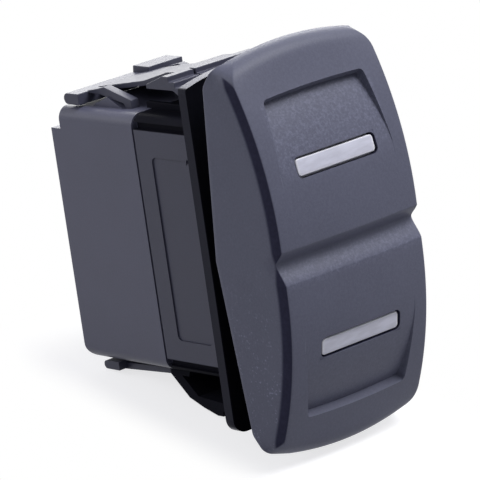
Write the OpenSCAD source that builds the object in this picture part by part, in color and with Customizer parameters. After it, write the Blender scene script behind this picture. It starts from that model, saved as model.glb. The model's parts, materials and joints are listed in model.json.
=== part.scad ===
// Three-position panel rocker switch for a rectangular cut-out.
// X is the width, +Y runs rearwards through the panel, +Z is the long axis.
// The origin is the centre of the cut-out, in the plane where the flange meets the panel.

/* [Panel cut-out] */
// Width of the hole in the panel
cutout_w = 21.08; // [19:0.01:24]
// Height of the hole in the panel
cutout_h = 36.83; // [34:0.01:40]
// Gap between the body and each side of the hole
side_gap = 0.18; // [0.1:0.01:0.4]
// Gap between the body and each end of the hole
end_gap = 0.235; // [0.1:0.005:0.5]

/* [Flange] */
// Width of the flange
flange_w = 25; // [24:0.1:28]
// Height of the flange
flange_h = 49.3; // [48:0.1:54]
// Thickness of the flange
flange_t = 1.7; // [1.4:0.05:2.2]
// Radius of the flange's corners
flange_r = 2; // [0.8:0.1:4]

/* [Housing] */
// Length of the bracket behind the flange
bracket_len = 13.2; // [12.8:0.1:15]
// Gap of the seam between bracket and base
seam_gap = 0.35; // [0.1:0.05:0.6]
// Depth from the flange's rear face to the rear rim
housing_depth = 31.1; // [30:0.1:36]
// Radius of the body's long edges
body_r = 1.8; // [0.8:0.1:2.4]
// Wall of the bracket
bracket_wall = 1.8; // [1.7:0.05:2.2]
// Wall of the base
base_wall = 1.6; // [1.2:0.05:2]
// Length of the base's collar inside the bracket
collar_len = 1.8; // [1.2:0.1:2.4]
// Wall of the collar
collar_wall = 1.2; // [0.8:0.05:1.4]
// Clearance round the collar
collar_gap = 0.05; // [0.02:0.01:0.15]
// How far the end walls stop short of the side walls
end_step = 1.7; // [0.5:0.1:3]
// Height of the notch in the upper rear corners
notch_h = 3; // [1:0.1:4]
// Radius of the lower rear corners
rear_corner_r = 2.2; // [0.5:0.1:3]
// Thickness of the deck that carries the terminals
deck_t = 2.4; // [1.6:0.1:3]
// Distance from the flange's rear face to the deck
deck_y = 17.2; // [17.2:0.05:18.2]

/* [Side relief] */
// Depth of the shallow panel in each side wall
panel_cut = 0.22; // [0.1:0.01:0.35]
// Distance from the flange to the shallow panel
panel_y = 2.9; // [2.6:0.1:4]
// Length of the shallow panel along the depth
panel_len = 7.3; // [4:0.1:8]
// Height of the shallow panel
panel_h = 25.9; // [12:0.1:28]
// Width of the slots moulded in the side walls
slot_w = 0.4; // [0.2:0.05:0.8]
// Depth of the slots moulded in the side walls
slot_cut = 0.5; // [0.2:0.05:0.6]
// Height of the slot over each pivot
pivot_slot_h = 7.2; // [4:0.1:9]
// Height of the groove under the upper rails
rail_groove_h = 1; // [0.3:0.05:1.2]
// Distance of that groove from the top of the body
rail_drop = 0.9; // [0.8:0.05:2.2]

/* [Snap wings] */
// Width of the snap wings
wing_w = 16; // [12:0.5:17]
// Height of the upper crest above the body
wing_rise = 5.2; // [4:0.1:6]
// Distance from the flange to the front of the upper crest
crest_y = 7.2; // [6.8:0.1:8]
// Length of one tooth on the upper wing
tooth_len = 1.2; // [0.8:0.05:1.3]
// Height of the lower crest above the body
lower_rise = 6.2; // [5:0.1:6.6]
// Distance from the flange to the front of the lower crest
lower_crest_y = 5.8; // [5.4:0.1:6.6]
// Length of one tooth on the lower wing
lower_tooth_len = 0.9; // [0.6:0.05:1]
// Length of the crests
crest_len = 1.2; // [0.6:0.1:2]
// Number of teeth on each wing
teeth = 5; // [3:1:5]
// Height of one tooth
tooth_h = 0.72; // [0.5:0.02:0.8]
// Thickness of the wings
wing_t = 1.9; // [1.4:0.1:2.2]
// Thickness of the wings' front ends
nose_t = 1.5; // [1.2:0.1:2]
// Height of the low guide ribs under the wings
guide_h = 0.9; // [0.4:0.1:1.2]
// Width of one guide rib
guide_w = 0.8; // [0.5:0.1:1.5]
// Distance of the guide ribs from the middle
guide_x = 5.5; // [4:0.1:6.5]

/* [Latches] */
// Width of each leg and each strap arm
arm_w = 2.7; // [1.8:0.1:3.4]
// Thickness of the straps under the lower wing
strap_t = 0.9; // [0.7:0.1:1.4]
// Thickness of the legs of the release lever
leg_t = 1.6; // [1:0.1:2]
// Gap between the latches and the base
strap_gap = 0.32; // [0.2:0.02:0.6]
// Distance from the flange to the finger bars
bar_y = 25.2; // [24:0.1:26]
// Depth of the finger bars
bar_d = 3.2; // [2.4:0.1:3.6]
// Width of the finger bars
bar_w = 19; // [17:0.1:20]
// Thickness of the finger bars
bar_t = 1.6; // [1.2:0.1:2]
// Thickness of the lower finger bar
lower_bar_t = 1.2; // [1:0.1:1.5]
// Width of the upper latch lug on the base
lug_w = 15.6; // [8:0.1:16]
// Width of the lower latch lug
lower_lug_w = 8; // [4:0.1:9]
// Height of the latch lugs
lug_h = 1.4; // [0.6:0.1:1.5]
// Gap between the lugs and the finger bars
lug_gap = 0.9; // [0.2:0.05:1.2]
// Thickness of the release plate on the upper wing
plate_t = 0.7; // [0.6:0.1:1.2]
// Width of the slit in the release plate
slit_w = 0.4; // [0.2:0.1:1]
// Height of the finger pad on the upper bar
pad_h = 0.75; // [0.3:0.05:1.2]
// Width of the finger pad
pad_w = 5.8; // [3:0.1:8]

/* [Rocker cap] */
// Width of the rocker
rocker_w = 26; // [25:0.1:28]
// Height of the rocker
rocker_h = 56; // [53:0.1:60]
// How far the middle of each half stands in front of the panel
rocker_front = 16.75; // [16.2:0.05:18]
// Radius of the curve along each half
face_r = 50; // [44:0.5:80]
// Distance from the centre line to the top of that curve
face_flat = 3; // [2.6:0.1:5]
// Crown across the width
face_crown = 0.4; // [0:0.05:0.8]
// Crown of the two end edges
end_crown = 1.6; // [0:0.1:2.4]
// Depth of the groove across the middle
groove_cut = 1.55; // [0.8:0.05:2]
// Half width of the groove
groove_half = 2.4; // [1.5:0.1:2.6]
// Gap between the flange and the skirt at the centre line
skirt_gap = 1.57; // [1.4:0.01:2.4]
// Slope of the skirt's rear edge towards the ends, in degrees
skirt_slope = 5.6; // [4.5:0.1:8]
// Wall of the rocker cap
cap_wall = 1.5; // [1.2:0.05:1.8]
// Wall of the rocker cap behind its face
face_wall = 2.5; // [2:0.1:2.8]
// Inward lean of the cap's sides
cap_draft = 0.12; // [0:0.02:0.4]
// How far the sides curve in at the edge of the face
shoulder_w = 0.38; // [0.2:0.02:0.8]
// Depth of that curve
shoulder_d = 2.2; // [1:0.1:3]
// Length of the bevel at each rear end of the skirt
bevel_len = 2.8; // [1:0.1:4]
// Height of that bevel
bevel_h = 1.6; // [0.6:0.1:2.2]

/* [Finger scoops] */
// Width of each scoop where it starts
scoop_w = 20.2; // [16:0.1:21]
// Width of each scoop at its end wall
scoop_end_w = 18.1; // [14:0.1:20]
// Radius of the corners at the end wall
scoop_corner = 0.7; // [0.3:0.05:1.5]
// Radius of a scoop's floor
scoop_r = 28.5; // [22:0.5:40]
// Distance from the centre line to where a scoop starts
scoop_start = 9; // [8:0.1:11]
// Distance from the centre line to the foot of the scoop's wall
scoop_end = 20.9; // [19:0.1:22]
// Lean of the scoop's wall, in degrees
scoop_wall = 44; // [15:1:50]

/* [Lenses] */
// Length of the lens bars
lens_w = 14; // [10:0.1:15]
// Height of the lens bars
lens_h = 2.35; // [1.6:0.05:3]
// Distance of each lens from the centre line
lens_z = 12.35; // [11.8:0.05:13.4]
// Radius of the lens corners
lens_r = 0.55; // [0.2:0.05:0.9]
// Gap round each lens
lens_gap = 0.2; // [0.1:0.02:0.3]
// How far the lenses lie below the face
lens_set = 0.3; // [0:0.05:0.5]
// Lip of the lens behind the cap's wall
lens_lip = 0.6; // [0.4:0.05:0.8]
// Thickness of that lip
lens_lip_t = 1; // [0.6:0.05:1.2]

/* [Pivot and carrier] */
// Distance from the flange's rear face to the pivot
pivot_y = 2.6; // [2.4:0.05:3]
// Radius of the carrier's drum
drum_r = 5.6; // [5.2:0.05:6]
// Gap between the drum's ends and the bracket
drum_end_gap = 0.36; // [0.2:0.02:0.5]
// Radius of the trunnions
trunnion_r = 1.6; // [1.2:0.05:1.8]
// Depth of the trunnion bores
trunnion_bore = 0.9; // [0.6:0.05:1]
// Radial clearance of the trunnions and plungers
running_gap = 0.05; // [0.02:0.01:0.09]
// Thickness of the neck between drum and plate
neck_t = 5; // [4:0.1:5.4]
// Thickness of the carrier's plate
carrier_t = 1.5; // [1:0.1:2]
// Distance from the flange's rear face to the carrier's plate
carrier_front = 9.5; // [9:0.1:10]
// Height of the carrier's plate
carrier_h = 32; // [31:0.1:34]
// Gap between the seal's lips and the drum
seal_gap = 0.12; // [0.08:0.01:0.2]
// Thickness of the seal
seal_t = 1.2; // [0.8:0.1:1.3]
// Gap round the seal in its pocket
seal_fit = 0.05; // [0.02:0.01:0.1]

/* [Switching parts] */
// Distance of each circuit from the middle
pole_x = 4; // [3.9:0.05:4.15]
// Radius of the plungers
plunger_r = 1.95; // [1.6:0.05:2]
// Distance from the pivot to the plungers' tips
plunger_reach = 10.6; // [10.3:0.05:10.7]
// Wall of the tubes that guide the plungers
tube_wall = 1; // [0.7:0.05:1.1]
// Turns of the plunger springs
spring_turns = 5; // [4:1:7]
// Wire of the plunger springs
spring_wire = 0.45; // [0.3:0.05:0.5]
// Length of the plunger springs
spring_len = 5.2; // [4.8:0.1:5.4]
// Thickness of the contact blades
blade_t = 0.8; // [0.6:0.05:0.9]
// Width of the contact blades
blade_w = 4.4; // [3.6:0.1:4.5]
// Half length of the contact blades
blade_reach = 9.6; // [9.4:0.1:9.8]
// Radius of the dip that each plunger sits in
dip_r = 4.2; // [4:0.05:4.6]
// Depth of that dip
dip_cut = 0.3; // [0.2:0.02:0.4]
// Distance from the middle to the contacts
contact_z = 8.4; // [8.2:0.05:8.5]
// Radius of the contact rivets
contact_r = 1.4; // [1:0.05:1.45]
// Height of the moving contacts behind the blade
contact_h = 0.9; // [0.7:0.05:1]
// Travel of each moving contact to its fixed one
contact_travel = 1.08; // [1.08:0.01:1.3]

/* [Terminals and lamps] */
// Width of the terminal tabs
tab_w = 6.3; // [5.6:0.05:6.3]
// Thickness of the terminal tabs
tab_t = 0.8; // [0.6:0.05:0.9]
// How far the tabs stop short of the rear rim
tab_set = 1.5; // [0.5:0.1:3]
// Distance from the middle to the outer contact rows
row_z = 7; // [6.8:0.05:7.2]
// Distance from the middle to the lamp rows
lamp_row_z = 13.5; // [13.3:0.05:13.8]
// Radius of the lamps
lamp_r = 1.5; // [1.2:0.05:1.6]
// Thickness of the lamp shelves
shelf_t = 1.2; // [0.8:0.1:1.6]
// Distance from the flange's rear face to the lamp shelves
shelf_y = 3.2; // [2.6:0.1:3.6]
// Radius of the lamp leads
lead_r = 0.25; // [0.2:0.01:0.3]

/* [Hidden] */
$fn = 48;
eps = 0.01;

// Body
body_w = cutout_w - 2 * side_gap;
body_h = cutout_h - 2 * end_gap;
body_x = body_w / 2;
body_z = body_h / 2;
bore_x = body_x - bracket_wall;
bore_z = body_z - bracket_wall;
ledge_y = bracket_len - collar_len;
base_y = bracket_len + seam_gap;
collar_x = bore_x + (body_x - bore_x) * 0.42;
collar_z = bore_z + (body_z - bore_z) * 0.42;
chamber_x = collar_x - collar_wall;
chamber_z = collar_z - collar_wall;
cavity_x = body_x - base_wall;
cavity_z = body_z - base_wall;
cavity_y = deck_y + deck_t;
end_wall_y = housing_depth - end_step;

// Wings and latches
crest_z = body_z + wing_rise;
lower_crest_z = body_z + lower_rise;
wing_x = wing_w / 2;
arm_x = wing_x - arm_w;
bar_z = body_z + strap_gap;
bar_top = bar_z + bar_t;
foot_top = bar_z + strap_t;
leg_y = 22.3;
plate_y = 13.6;
lug_y = bar_y - lug_gap - 3.2;

// Seal and drum
drum_x = bore_x - drum_end_gap;
seal_x = bore_x + 1.2;
seal_z = drum_r + 1.75;

// Switching parts
bore_r = plunger_r + running_gap;
tube_r = bore_r + tube_wall;
tip_y = pivot_y + plunger_reach;
arm_y = tip_y - dip_cut;
fulcrum_y = tip_y + blade_t;
contact_y = fulcrum_y - dip_cut + contact_h + contact_travel;
foot_y = deck_y - tab_t;
tube_end = pivot_y + drum_r + 1.2;
spring_y = -0.6;
shoulder_y = spring_y + spring_len;
tab_end = housing_depth - tab_set;
tab_x = tab_w / 2;
fulcrum_gap = 0.06;
ear_gap = 0.15;
lamp_z = lamp_row_z - tab_t / 2 - lead_r;
lead_x = pole_x - tab_x + 0.75;
lamp_seat_y = shelf_y + shelf_t;

// Extrudes an outline drawn in X and Z from y0 to y1
module slab(y0, y1) {
    translate([0, y1, 0]) rotate([90, 0, 0]) linear_extrude(height = y1 - y0) children();
}

// Extrudes an outline drawn in Y and Z from x0 to x1
module profile(x0, x1) {
    translate([x0, 0, 0]) rotate([90, 0, 90]) linear_extrude(height = x1 - x0) children();
}

// A cylinder along Y
module rod(r, y0, y1, x = 0, z = 0) {
    translate([x, y1, z]) rotate([90, 0, 0]) cylinder(r = r, h = y1 - y0);
}

module rounded(w, h, r) {
    square([w - 2 * r, h], center = true);
    square([w, h - 2 * r], center = true);
    for (x = [-1, 1], z = [-1, 1])
        translate([x * (w / 2 - r), z * (h / 2 - r)]) circle(r = r);
}

// Places its children at the top, and mirrored at the bottom
module both_ends() {
    for (m = [0, 1]) mirror([0, 0, m]) children();
}

module both_sides() {
    for (m = [0, 1]) mirror([m, 0, 0]) children();
}

// ---- Bracket -------------------------------------------------------------

// The stepped front of a wing whose crest starts at y, z
function tooth_line(y, z, len) = concat([[y, z]],
    [for (i = [0 : teeth - 1], k = [0, 1]) [y - (i + k) * len, z - (i + 1) * tooth_h]],
    [[y - teeth * len, z - teeth * tooth_h - nose_t],
     [y - teeth * len + (teeth * tooth_h + nose_t - wing_t) * len / tooth_h, z - wing_t]]);

// Foot that carries a latch over the seam, on the bracket's rear edge
module foot_outline(end) {
    polygon([[bracket_len - 1.7, body_z - eps], [bracket_len - 0.2, body_z - eps],
             [bracket_len + 0.3, bar_z], [end, bar_z], [end, foot_top],
             [bracket_len - 1.2, foot_top]]);
}

module finger_bar(thickness) {
    profile(-bar_w / 2, bar_w / 2) {
        translate([bar_y, bar_z]) square([bar_d - thickness / 2, thickness]);
        translate([bar_y + bar_d - thickness / 2, bar_z + thickness / 2]) circle(d = thickness);
    }
}

module guide_ribs() {
    both_sides() profile(guide_x, guide_x + guide_w)
        translate([1, body_z - eps]) square([ledge_y - 2, guide_h]);
}

// Wing on a lever, with the plate that runs back to its finger bar
module upper_wing() {
    tail_y = crest_y + crest_len + 3.6;
    tail_z = crest_z - wing_t + 0.6;
    rear = [bar_y + bar_d / 2, bar_top + 0.6];
    back = [crest_y + crest_len, crest_z];
    front = back - [0.6, 0.15];
    bow = [19.6, bar_top + 1.75];
    profile(-wing_x, wing_x) polygon(concat([[tail_y, tail_z], back],
        tooth_line(crest_y, crest_z, tooth_len), [[tail_y, crest_z - wing_t]]));
    difference() {
        profile(-wing_x, wing_x) polygon([front, bow, rear, [rear[0], bar_top - 0.4],
            [bar_y + 0.2, bar_top - 0.4], bow - [0, plate_t], front - [0.2, plate_t]]);
        both_sides() translate([arm_x, crest_y, bar_top]) cube([wing_x, plate_y - crest_y, 6]);
        translate([-pole_x, plate_y - 4, bar_top]) cube([slit_w, 11, 6]);
    }
    // Legs
    both_sides() profile(arm_x, wing_x) {
        foot_outline(leg_y - 4.3);
        polygon([[leg_y, bow[1] - plate_t - 0.4], [leg_y - 4.3, bar_z + eps],
                 [leg_y - 4.3 - 1.6 * leg_t, bar_z + eps],
                 [leg_y - 4.3 - 1.6 * leg_t, foot_top - eps],
                 [leg_y - 1.45 * leg_t, bow[1] - plate_t + 0.2]]);
    }
    finger_bar(bar_t);
    // Finger pad
    profile(bar_w / 2 - pad_w - 0.3, bar_w / 2 - 0.3) polygon([
        [bar_y - 0.6, bar_top - 0.5], [bar_y - 0.4, bar_top + pad_h],
        [bar_y + bar_d - 0.5, bar_top + pad_h], [bar_y + bar_d - 0.4, bar_top - 0.5]]);
}

// Wing on a pair of straps that run back to the lower finger bar
module lower_wing() {
    heel = [bracket_len + 2.6, foot_top];
    knee = [bracket_len - 0.7, lower_crest_z - wing_t];
    profile(-wing_x, wing_x) polygon(concat(
        [heel, knee, knee + [-2.8, 1.1], [lower_crest_y + crest_len, lower_crest_z]],
        tooth_line(lower_crest_y, lower_crest_z, lower_tooth_len),
        [knee + [-1.9, -0.4], heel - [2.1, 0.2], heel - [0, 0.2]]));
    profile(-wing_x, wing_x) foot_outline(heel[0]);
    bar_edge = bar_z + lower_bar_t + 0.2;
    both_sides() profile(arm_x, wing_x) polygon([heel - [0.2, strap_t - 0.05], heel - [0.2, 0.05],
        [bar_y + 0.6, bar_edge], [bar_y + 0.6, bar_edge - strap_t]]);
    finger_bar(lower_bar_t);
}

module side_relief() {
    profile(body_x - panel_cut, body_x + 1)
        translate([panel_y + panel_len / 2, -0.35]) rounded(panel_len, panel_h, 0.8);
    profile(body_x - slot_cut, body_x + 1)
        translate([panel_y - 0.9, -pivot_slot_h / 2]) square([slot_w, pivot_slot_h]);
    profile(body_x - slot_cut, body_x + 1)
        translate([panel_y + 0.15, panel_h / 2 - 1.1]) rotate(35) square([slot_w, 1]);
    profile(body_x - slot_cut - 0.1, body_x + 1)
        translate([0.6, body_z - rail_drop - rail_groove_h])
            square([bracket_len, rail_groove_h]);
}

module bracket_inside() {
    // Pocket for the seal and the opening for the drum
    slab(-flange_t - 1, seal_t - flange_t)
        square([2 * (seal_x + seal_fit), 2 * (seal_z + seal_fit)], center = true);
    slab(-flange_t, eps) square([2 * bore_x, 2 * (drum_r + 0.4)], center = true);
    // Light windows over the lamps
    both_ends() slab(-flange_t - 1, eps) translate([0, lamp_z])
        square([lens_w - 0.4, 2 * lamp_r + 1.4], center = true);
    // Room for the mechanism, and the socket for the base's collar
    slab(0, bracket_len + 1) square([2 * bore_x, 2 * bore_z], center = true);
    slab(ledge_y, bracket_len + 1)
        square([2 * (collar_x + collar_gap), 2 * (collar_z + collar_gap)], center = true);
    both_sides() translate([bore_x - eps, pivot_y, 0]) rotate([0, 90, 0])
        cylinder(r = trunnion_r + running_gap, h = trunnion_bore + eps);
}

module lamp_shelf() {
    difference() {
        slab(shelf_y, lamp_seat_y)
            translate([-bore_x - eps, drum_r + 3])
                square([2 * (bore_x + eps), bore_z - drum_r - 3 + eps]);
        rod(lamp_r + running_gap, shelf_y - 1, lamp_seat_y + 1, 0, lamp_z);
    }
}

module bracket() {
    color("#2f2f37") {
        difference() {
            union() {
                slab(-flange_t, 0) rounded(flange_w, flange_h, flange_r);
                slab(-eps, bracket_len) rounded(body_w, body_h, body_r);
                both_ends() guide_ribs();
                upper_wing();
                mirror([0, 0, 1]) lower_wing();
            }
            bracket_inside();
            both_sides() side_relief();
        }
        both_ends() lamp_shelf();
    }
}

// ---- Base ----------------------------------------------------------------

module terminal_slots() {
    for (x = [-pole_x, pole_x], z = [-lamp_row_z, -row_z, 0, row_z, lamp_row_z])
        translate([x - tab_x - 0.1, deck_y - 1, z - tab_t / 2 - 0.1])
            cube([tab_w + 0.2, deck_t + 2, tab_t + 0.2]);
}

// Ramped lug that the latch snaps over
module latch_lug(width, y, back) {
    profile(-width / 2, width / 2) polygon([[y - 3, body_z - eps],
        [y, body_z + lug_h], [y + back, body_z - eps]]);
}

// Trims the rear rim: shorter end walls, notched top corners, rounded bottom ones
module rim_cuts() {
    both_ends() slab(end_wall_y, housing_depth + 1)
        translate([-cavity_x, cavity_z - 1]) square([2 * cavity_x, base_wall + 3]);
    slab(housing_depth - 2, housing_depth + 1)
        translate([-body_x - 1, body_z - notch_h]) square([body_w + 2, notch_h + 1]);
    profile(-body_x - 1, body_x + 1) translate([housing_depth, -body_z]) difference() {
        translate([-rear_corner_r, -1]) square([rear_corner_r + 1, rear_corner_r + 1]);
        translate([-rear_corner_r, rear_corner_r]) circle(r = rear_corner_r);
    }
}

module base() {
    color("#3a3a44") {
        difference() {
            union() {
                slab(base_y, housing_depth) rounded(body_w, body_h, body_r);
                slab(ledge_y, base_y + eps) square([2 * collar_x, 2 * collar_z], center = true);
            }
            slab(ledge_y - 1, deck_y) square([2 * chamber_x, 2 * chamber_z], center = true);
            slab(cavity_y, housing_depth + 1)
                square([2 * cavity_x, 2 * cavity_z], center = true);
            terminal_slots();
            rim_cuts();
        }
        latch_lug(lug_w, lug_y, 3.2);
        mirror([0, 0, 1]) latch_lug(lower_lug_w, lug_y + 3.5, 0.2);
        // Keys for the plug, and the low divider between the circuits
        for (z = [-row_z / 2, row_z / 2])
            translate([cavity_x - 0.9, cavity_y - eps, z - 0.5])
                cube([0.9 + eps, housing_depth - cavity_y - 0.6, 1]);
        translate([-0.4, cavity_y - eps, -cavity_z - eps])
            cube([0.8, 2.4, 2 * (cavity_z + eps)]);
    }
}

// ---- Seal ----------------------------------------------------------------

module drum_seal() {
    color("#1c1c1f") difference() {
        slab(-flange_t, seal_t - flange_t) square([2 * seal_x, 2 * seal_z], center = true);
        translate([-bore_x + 0.2, pivot_y, 0]) rotate([0, 90, 0])
            cylinder(r = drum_r + seal_gap, h = 2 * (bore_x - 0.2));
    }
}

// ---- Terminals -----------------------------------------------------------

// Flat tab with shoulders on the deck and a chamfered tip, centred on x
module tab_plate(x, front) {
    chamfer = tab_w / 5;
    translate([x, 0, -tab_t / 2]) linear_extrude(height = tab_t) difference() {
        union() {
            polygon([[-tab_x, front], [tab_x, front], [tab_x, tab_end - chamfer],
                     [tab_x - chamfer * 0.8, tab_end], [chamfer * 0.8 - tab_x, tab_end],
                     [-tab_x, tab_end - chamfer]]);
            translate([-tab_x - 0.45, foot_y]) square([tab_w + 0.9, tab_t]);
        }
        translate([0, tab_end - 3]) circle(d = 1.7);
    }
}

// Knife edge under the contact blade, with an ear on each side of it
module common_terminal(x) {
    color("#c9b98a") {
        tab_plate(x, fulcrum_y + fulcrum_gap);
        ear_x = blade_w / 2 + ear_gap;
        for (m = [0, 1]) translate([x, 0, -tab_t / 2]) mirror([m, 0, 0])
            translate([ear_x, fulcrum_y - 1.4, 0])
                cube([tab_x - ear_x, 2, tab_t]);
    }
}

// Tab with a foot on the deck that carries the fixed contact
module throw_terminal(x, end) {
    color("#c9b98a") mirror([0, 0, end < 0 ? 1 : 0]) difference() {
        union() {
            translate([0, 0, row_z]) tab_plate(x, foot_y);
            translate([x - tab_x, foot_y, row_z - tab_t / 2])
                cube([tab_w, tab_t, contact_z + contact_r - row_z + tab_t / 2]);
        }
        rod(contact_r / 2 + 0.02, foot_y - 1, deck_y + 1, x, contact_z);
    }
}

module fixed_contacts() {
    color("#d9d9dc") for (x = [-pole_x, pole_x], z = [-contact_z, contact_z]) {
        rod(contact_r, contact_y, foot_y, x, z);
        rod(contact_r / 2, foot_y - eps, deck_y, x, z);
    }
}

module lamp_terminal(side, end) {
    color("#c9b98a") mirror([side < 0 ? 1 : 0, 0, 0]) mirror([0, 0, end < 0 ? 1 : 0]) {
        translate([0, 0, lamp_row_z]) tab_plate(pole_x, foot_y);
        translate([pole_x - tab_x, deck_y - 5, lamp_row_z - tab_t / 2])
            cube([1.6, foot_y - deck_y + 5 + eps, tab_t]);
    }
}

// ---- Lamps ---------------------------------------------------------------

module lamp(end) {
    color("#e8ecd8") translate([0, 0, end * lamp_z]) rotate([-90, 0, 0]) rotate_extrude()
        difference() {
            union() {
                translate([0, 0.9]) circle(r = lamp_r);
                translate([0, 0.9]) square([lamp_r, lamp_seat_y + 1 - 0.9]);
                translate([0, lamp_seat_y]) square([lamp_r + 0.45, 1]);
            }
            translate([-10, -10]) square([10, 40]);
        }
}

module lamp_leads() {
    color("#b9bcc2") for (x = [-lead_x, lead_x], z = [-lamp_z, lamp_z])
        rod(lead_r, lamp_seat_y + 1, deck_y - 2.6, x, z);
}

// ---- Rocker cap ----------------------------------------------------------

half_w = rocker_w / 2;
half_h = rocker_h / 2;
end_start = half_h - 8;
front_fillet = 1.6;
plan_fillet = 3.2;
rear_plan_fillet = 0.9;
// Rings across each half as shares of the straight part, then of the end part
straight_rings = [0, 0.02, 0.04, 0.06, 0.08, 0.1, 0.12, 0.15, 0.22, 0.35, 0.48, 0.6, 0.73, 0.86];
end_rings = [0.001, 0.18, 0.36, 0.52, 0.65, 0.78, 0.86, 0.92, 0.96, 0.985, 1];

// Fall of a fillet of radius r at distance e from the edge
function fall(e, r) = e >= r ? 0 : r - sqrt(r * r - pow(r - e, 2));
// Curve along each half, groove included
function face_line(z) = let (a = max(abs(z) - face_flat, 0), g = min(abs(z) / groove_half, 1))
    -rocker_front + face_r - sqrt(face_r * face_r - a * a)
    + groove_cut * (1 + cos(180 * g)) / 2;
function skirt_line(z) = -flange_t - skirt_gap - abs(z) * tan(skirt_slope);
function bevel(e) = bevel_h * max(1 - e / bevel_len, 0) + fall(e, 0.25);
// Rings run straight across the middle and follow the crowned edge at the ends
function ring_z(f, x, inset) = f[1] == 0 ? f[0] * end_start
    : end_start + f[1] * (half_h - end_crown * pow(x / half_w, 2) - inset - end_start);

// One ring: rear corner, side, shoulder, crowned face, and back down the other side
function ring(s, f, inset, depth, drop, steps) = let (
    e = (1 - f[1]) * (half_h - inset - end_start),
    w = half_w - inset - fall(e, plan_fillet - inset),
    rear_w = half_w - inset - fall(e, max(rear_plan_fillet - inset, 0.1)),
    top = face_line(ring_z(f, w, inset)) + depth + fall(e, front_fillet) + face_crown,
    low = skirt_line(ring_z(f, rear_w, inset)) + drop - bevel(e),
    curve = min(shoulder_d, 0.45 * (low - top)),
    side = concat([[rear_w, low]],
        [for (i = [0 : steps]) let (t = i / steps)
            [w - cap_draft - shoulder_w * t * t, top + curve * (1 - t)]]),
    flat = w - cap_draft - shoulder_w,
    across = [for (i = [1 : 2 * steps - 1]) let (x = flat * (1 - i / steps))
        [x, top - face_crown * (1 - pow(x / flat, 2))]],
    left = [for (i = [len(side) - 1 : -1 : 0]) [-side[i][0], side[i][1]]])
    [for (p = concat(side, across, left)) [p[0], p[1], s * ring_z(f, p[0], inset)]];

module loft(rings) {
    n = len(rings[0]);
    last = len(rings) - 1;
    half = floor(n / 2);
    walls = [for (k = [0 : last - 1], j = [0 : n - 1]) let (
        a = k * n + j, b = k * n + (j + 1) % n) each [[a, b, b + n], [a, b + n, a + n]]];
    ends = [for (k = [0, last], j = [0 : half - 1]) let (
        a = k * n + j, b = a + 1, c = k * n + n - 2 - j, d = c + 1,
        quad = b == c ? [[a, b, d]] : [[a, b, c], [a, c, d]])
        each (k == 0 ? [for (t = quad) [t[2], t[1], t[0]]] : quad)];
    polyhedron(points = [for (r = rings, p = r) p], faces = concat(walls, ends));
}

module cap_form(inset, depth, drop, steps, middle, ends) {
    up = concat([for (z = middle) [z, 0]], [for (f = ends) [0, f]]);
    down = [for (i = [len(up) - 1 : -1 : 1]) ring(-1, up[i], inset, depth, drop, steps)];
    loft(concat(down, [for (f = up) ring(1, f, inset, depth, drop, steps)]));
}

// Plan of a finger scoop, tapered towards its end wall
module scoop_plan() {
    top = half_h - 3;
    spread = (scoop_w - scoop_end_w) / (scoop_end - 12) / 2;
    offset(r = scoop_corner) offset(delta = -scoop_corner) polygon([
        [-scoop_w / 2, 0], [scoop_w / 2, 0], [scoop_w / 2, 12],
        [scoop_w / 2 - spread * (scoop_end - 11), scoop_end + 1.2],
        [spread * (scoop_end - 11) - scoop_w / 2, scoop_end + 1.2], [-scoop_w / 2, 12]]);
}

// What a finger scoop takes out of the upper half
module scoop() {
    centre_y = face_line(scoop_start) + scoop_r * cos(asin((scoop_start - face_flat) / face_r));
    centre_z = scoop_start - scoop_r * (scoop_start - face_flat) / face_r;
    floor_y = centre_y - sqrt(pow(scoop_r, 2) - pow(scoop_end - centre_z, 2));
    intersection() {
        profile(-scoop_w, scoop_w) difference() {
            polygon([[-rocker_front - 3, scoop_start], [centre_y - 8, scoop_start],
                [floor_y + 6, scoop_end - 6 * tan(scoop_wall)],
                [floor_y - 6, scoop_end + 6 * tan(scoop_wall)], [-rocker_front - 3, half_h]]);
            translate([centre_y, centre_z]) circle(r = scoop_r, $fn = 180);
        }
        slab(-rocker_front - 2, 0) scoop_plan();
    }
}

// Puts its children at a lens, with -Y square to the face there
lens_tilt = asin((lens_z - face_flat) / face_r);
module at_lens() {
    translate([0, face_line(lens_z) + face_crown * pow(lens_w / rocker_w, 2), lens_z])
        rotate([-lens_tilt, 0, 0]) children();
}

module lens_pocket() {
    w = lens_w + 2 * lens_gap;
    h = lens_h + 2 * lens_gap;
    at_lens() {
        slab(-1, face_wall + 1.5) rounded(w, h, lens_r + lens_gap);
        slab(cap_wall - 0.4, face_wall + 1.5)
            square([w + 2 * lens_lip, h + 2 * lens_lip], center = true);
    }
}

// Ribs that sit on the carrier's plate, and the clips that hold its edges
module cap_clips() {
    plate_back = carrier_t - carrier_front;
    both_ends() translate([-drum_x, -rocker_front + cap_wall, 7])
        cube([2 * drum_x, rocker_front - cap_wall - carrier_front, 1.2]);
    both_sides() profile(drum_x + 0.15, drum_x + 1.15)
        translate([groove_cut - rocker_front + 0.6, -3])
            square([plate_back + 1 + rocker_front - groove_cut - 0.6, 6]);
    both_sides() profile(drum_x - 0.5, drum_x + 0.15 + eps)
        translate([plate_back + 0.03, -3]) square([0.97, 6]);
}

module rocker_cap() {
    color("#3d3d47") {
        difference() {
            cap_form(0, 0, 0, 4, straight_rings, end_rings);
            cap_form(cap_wall, face_wall, 4, 2, [0, 0.04, 0.08, 0.12, 0.22, 0.48, 0.73],
                [0.001, 0.4, 0.7, 0.88, 1]);
            both_ends() scoop();
            both_ends() lens_pocket();
        }
        cap_clips();
    }
}

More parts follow.
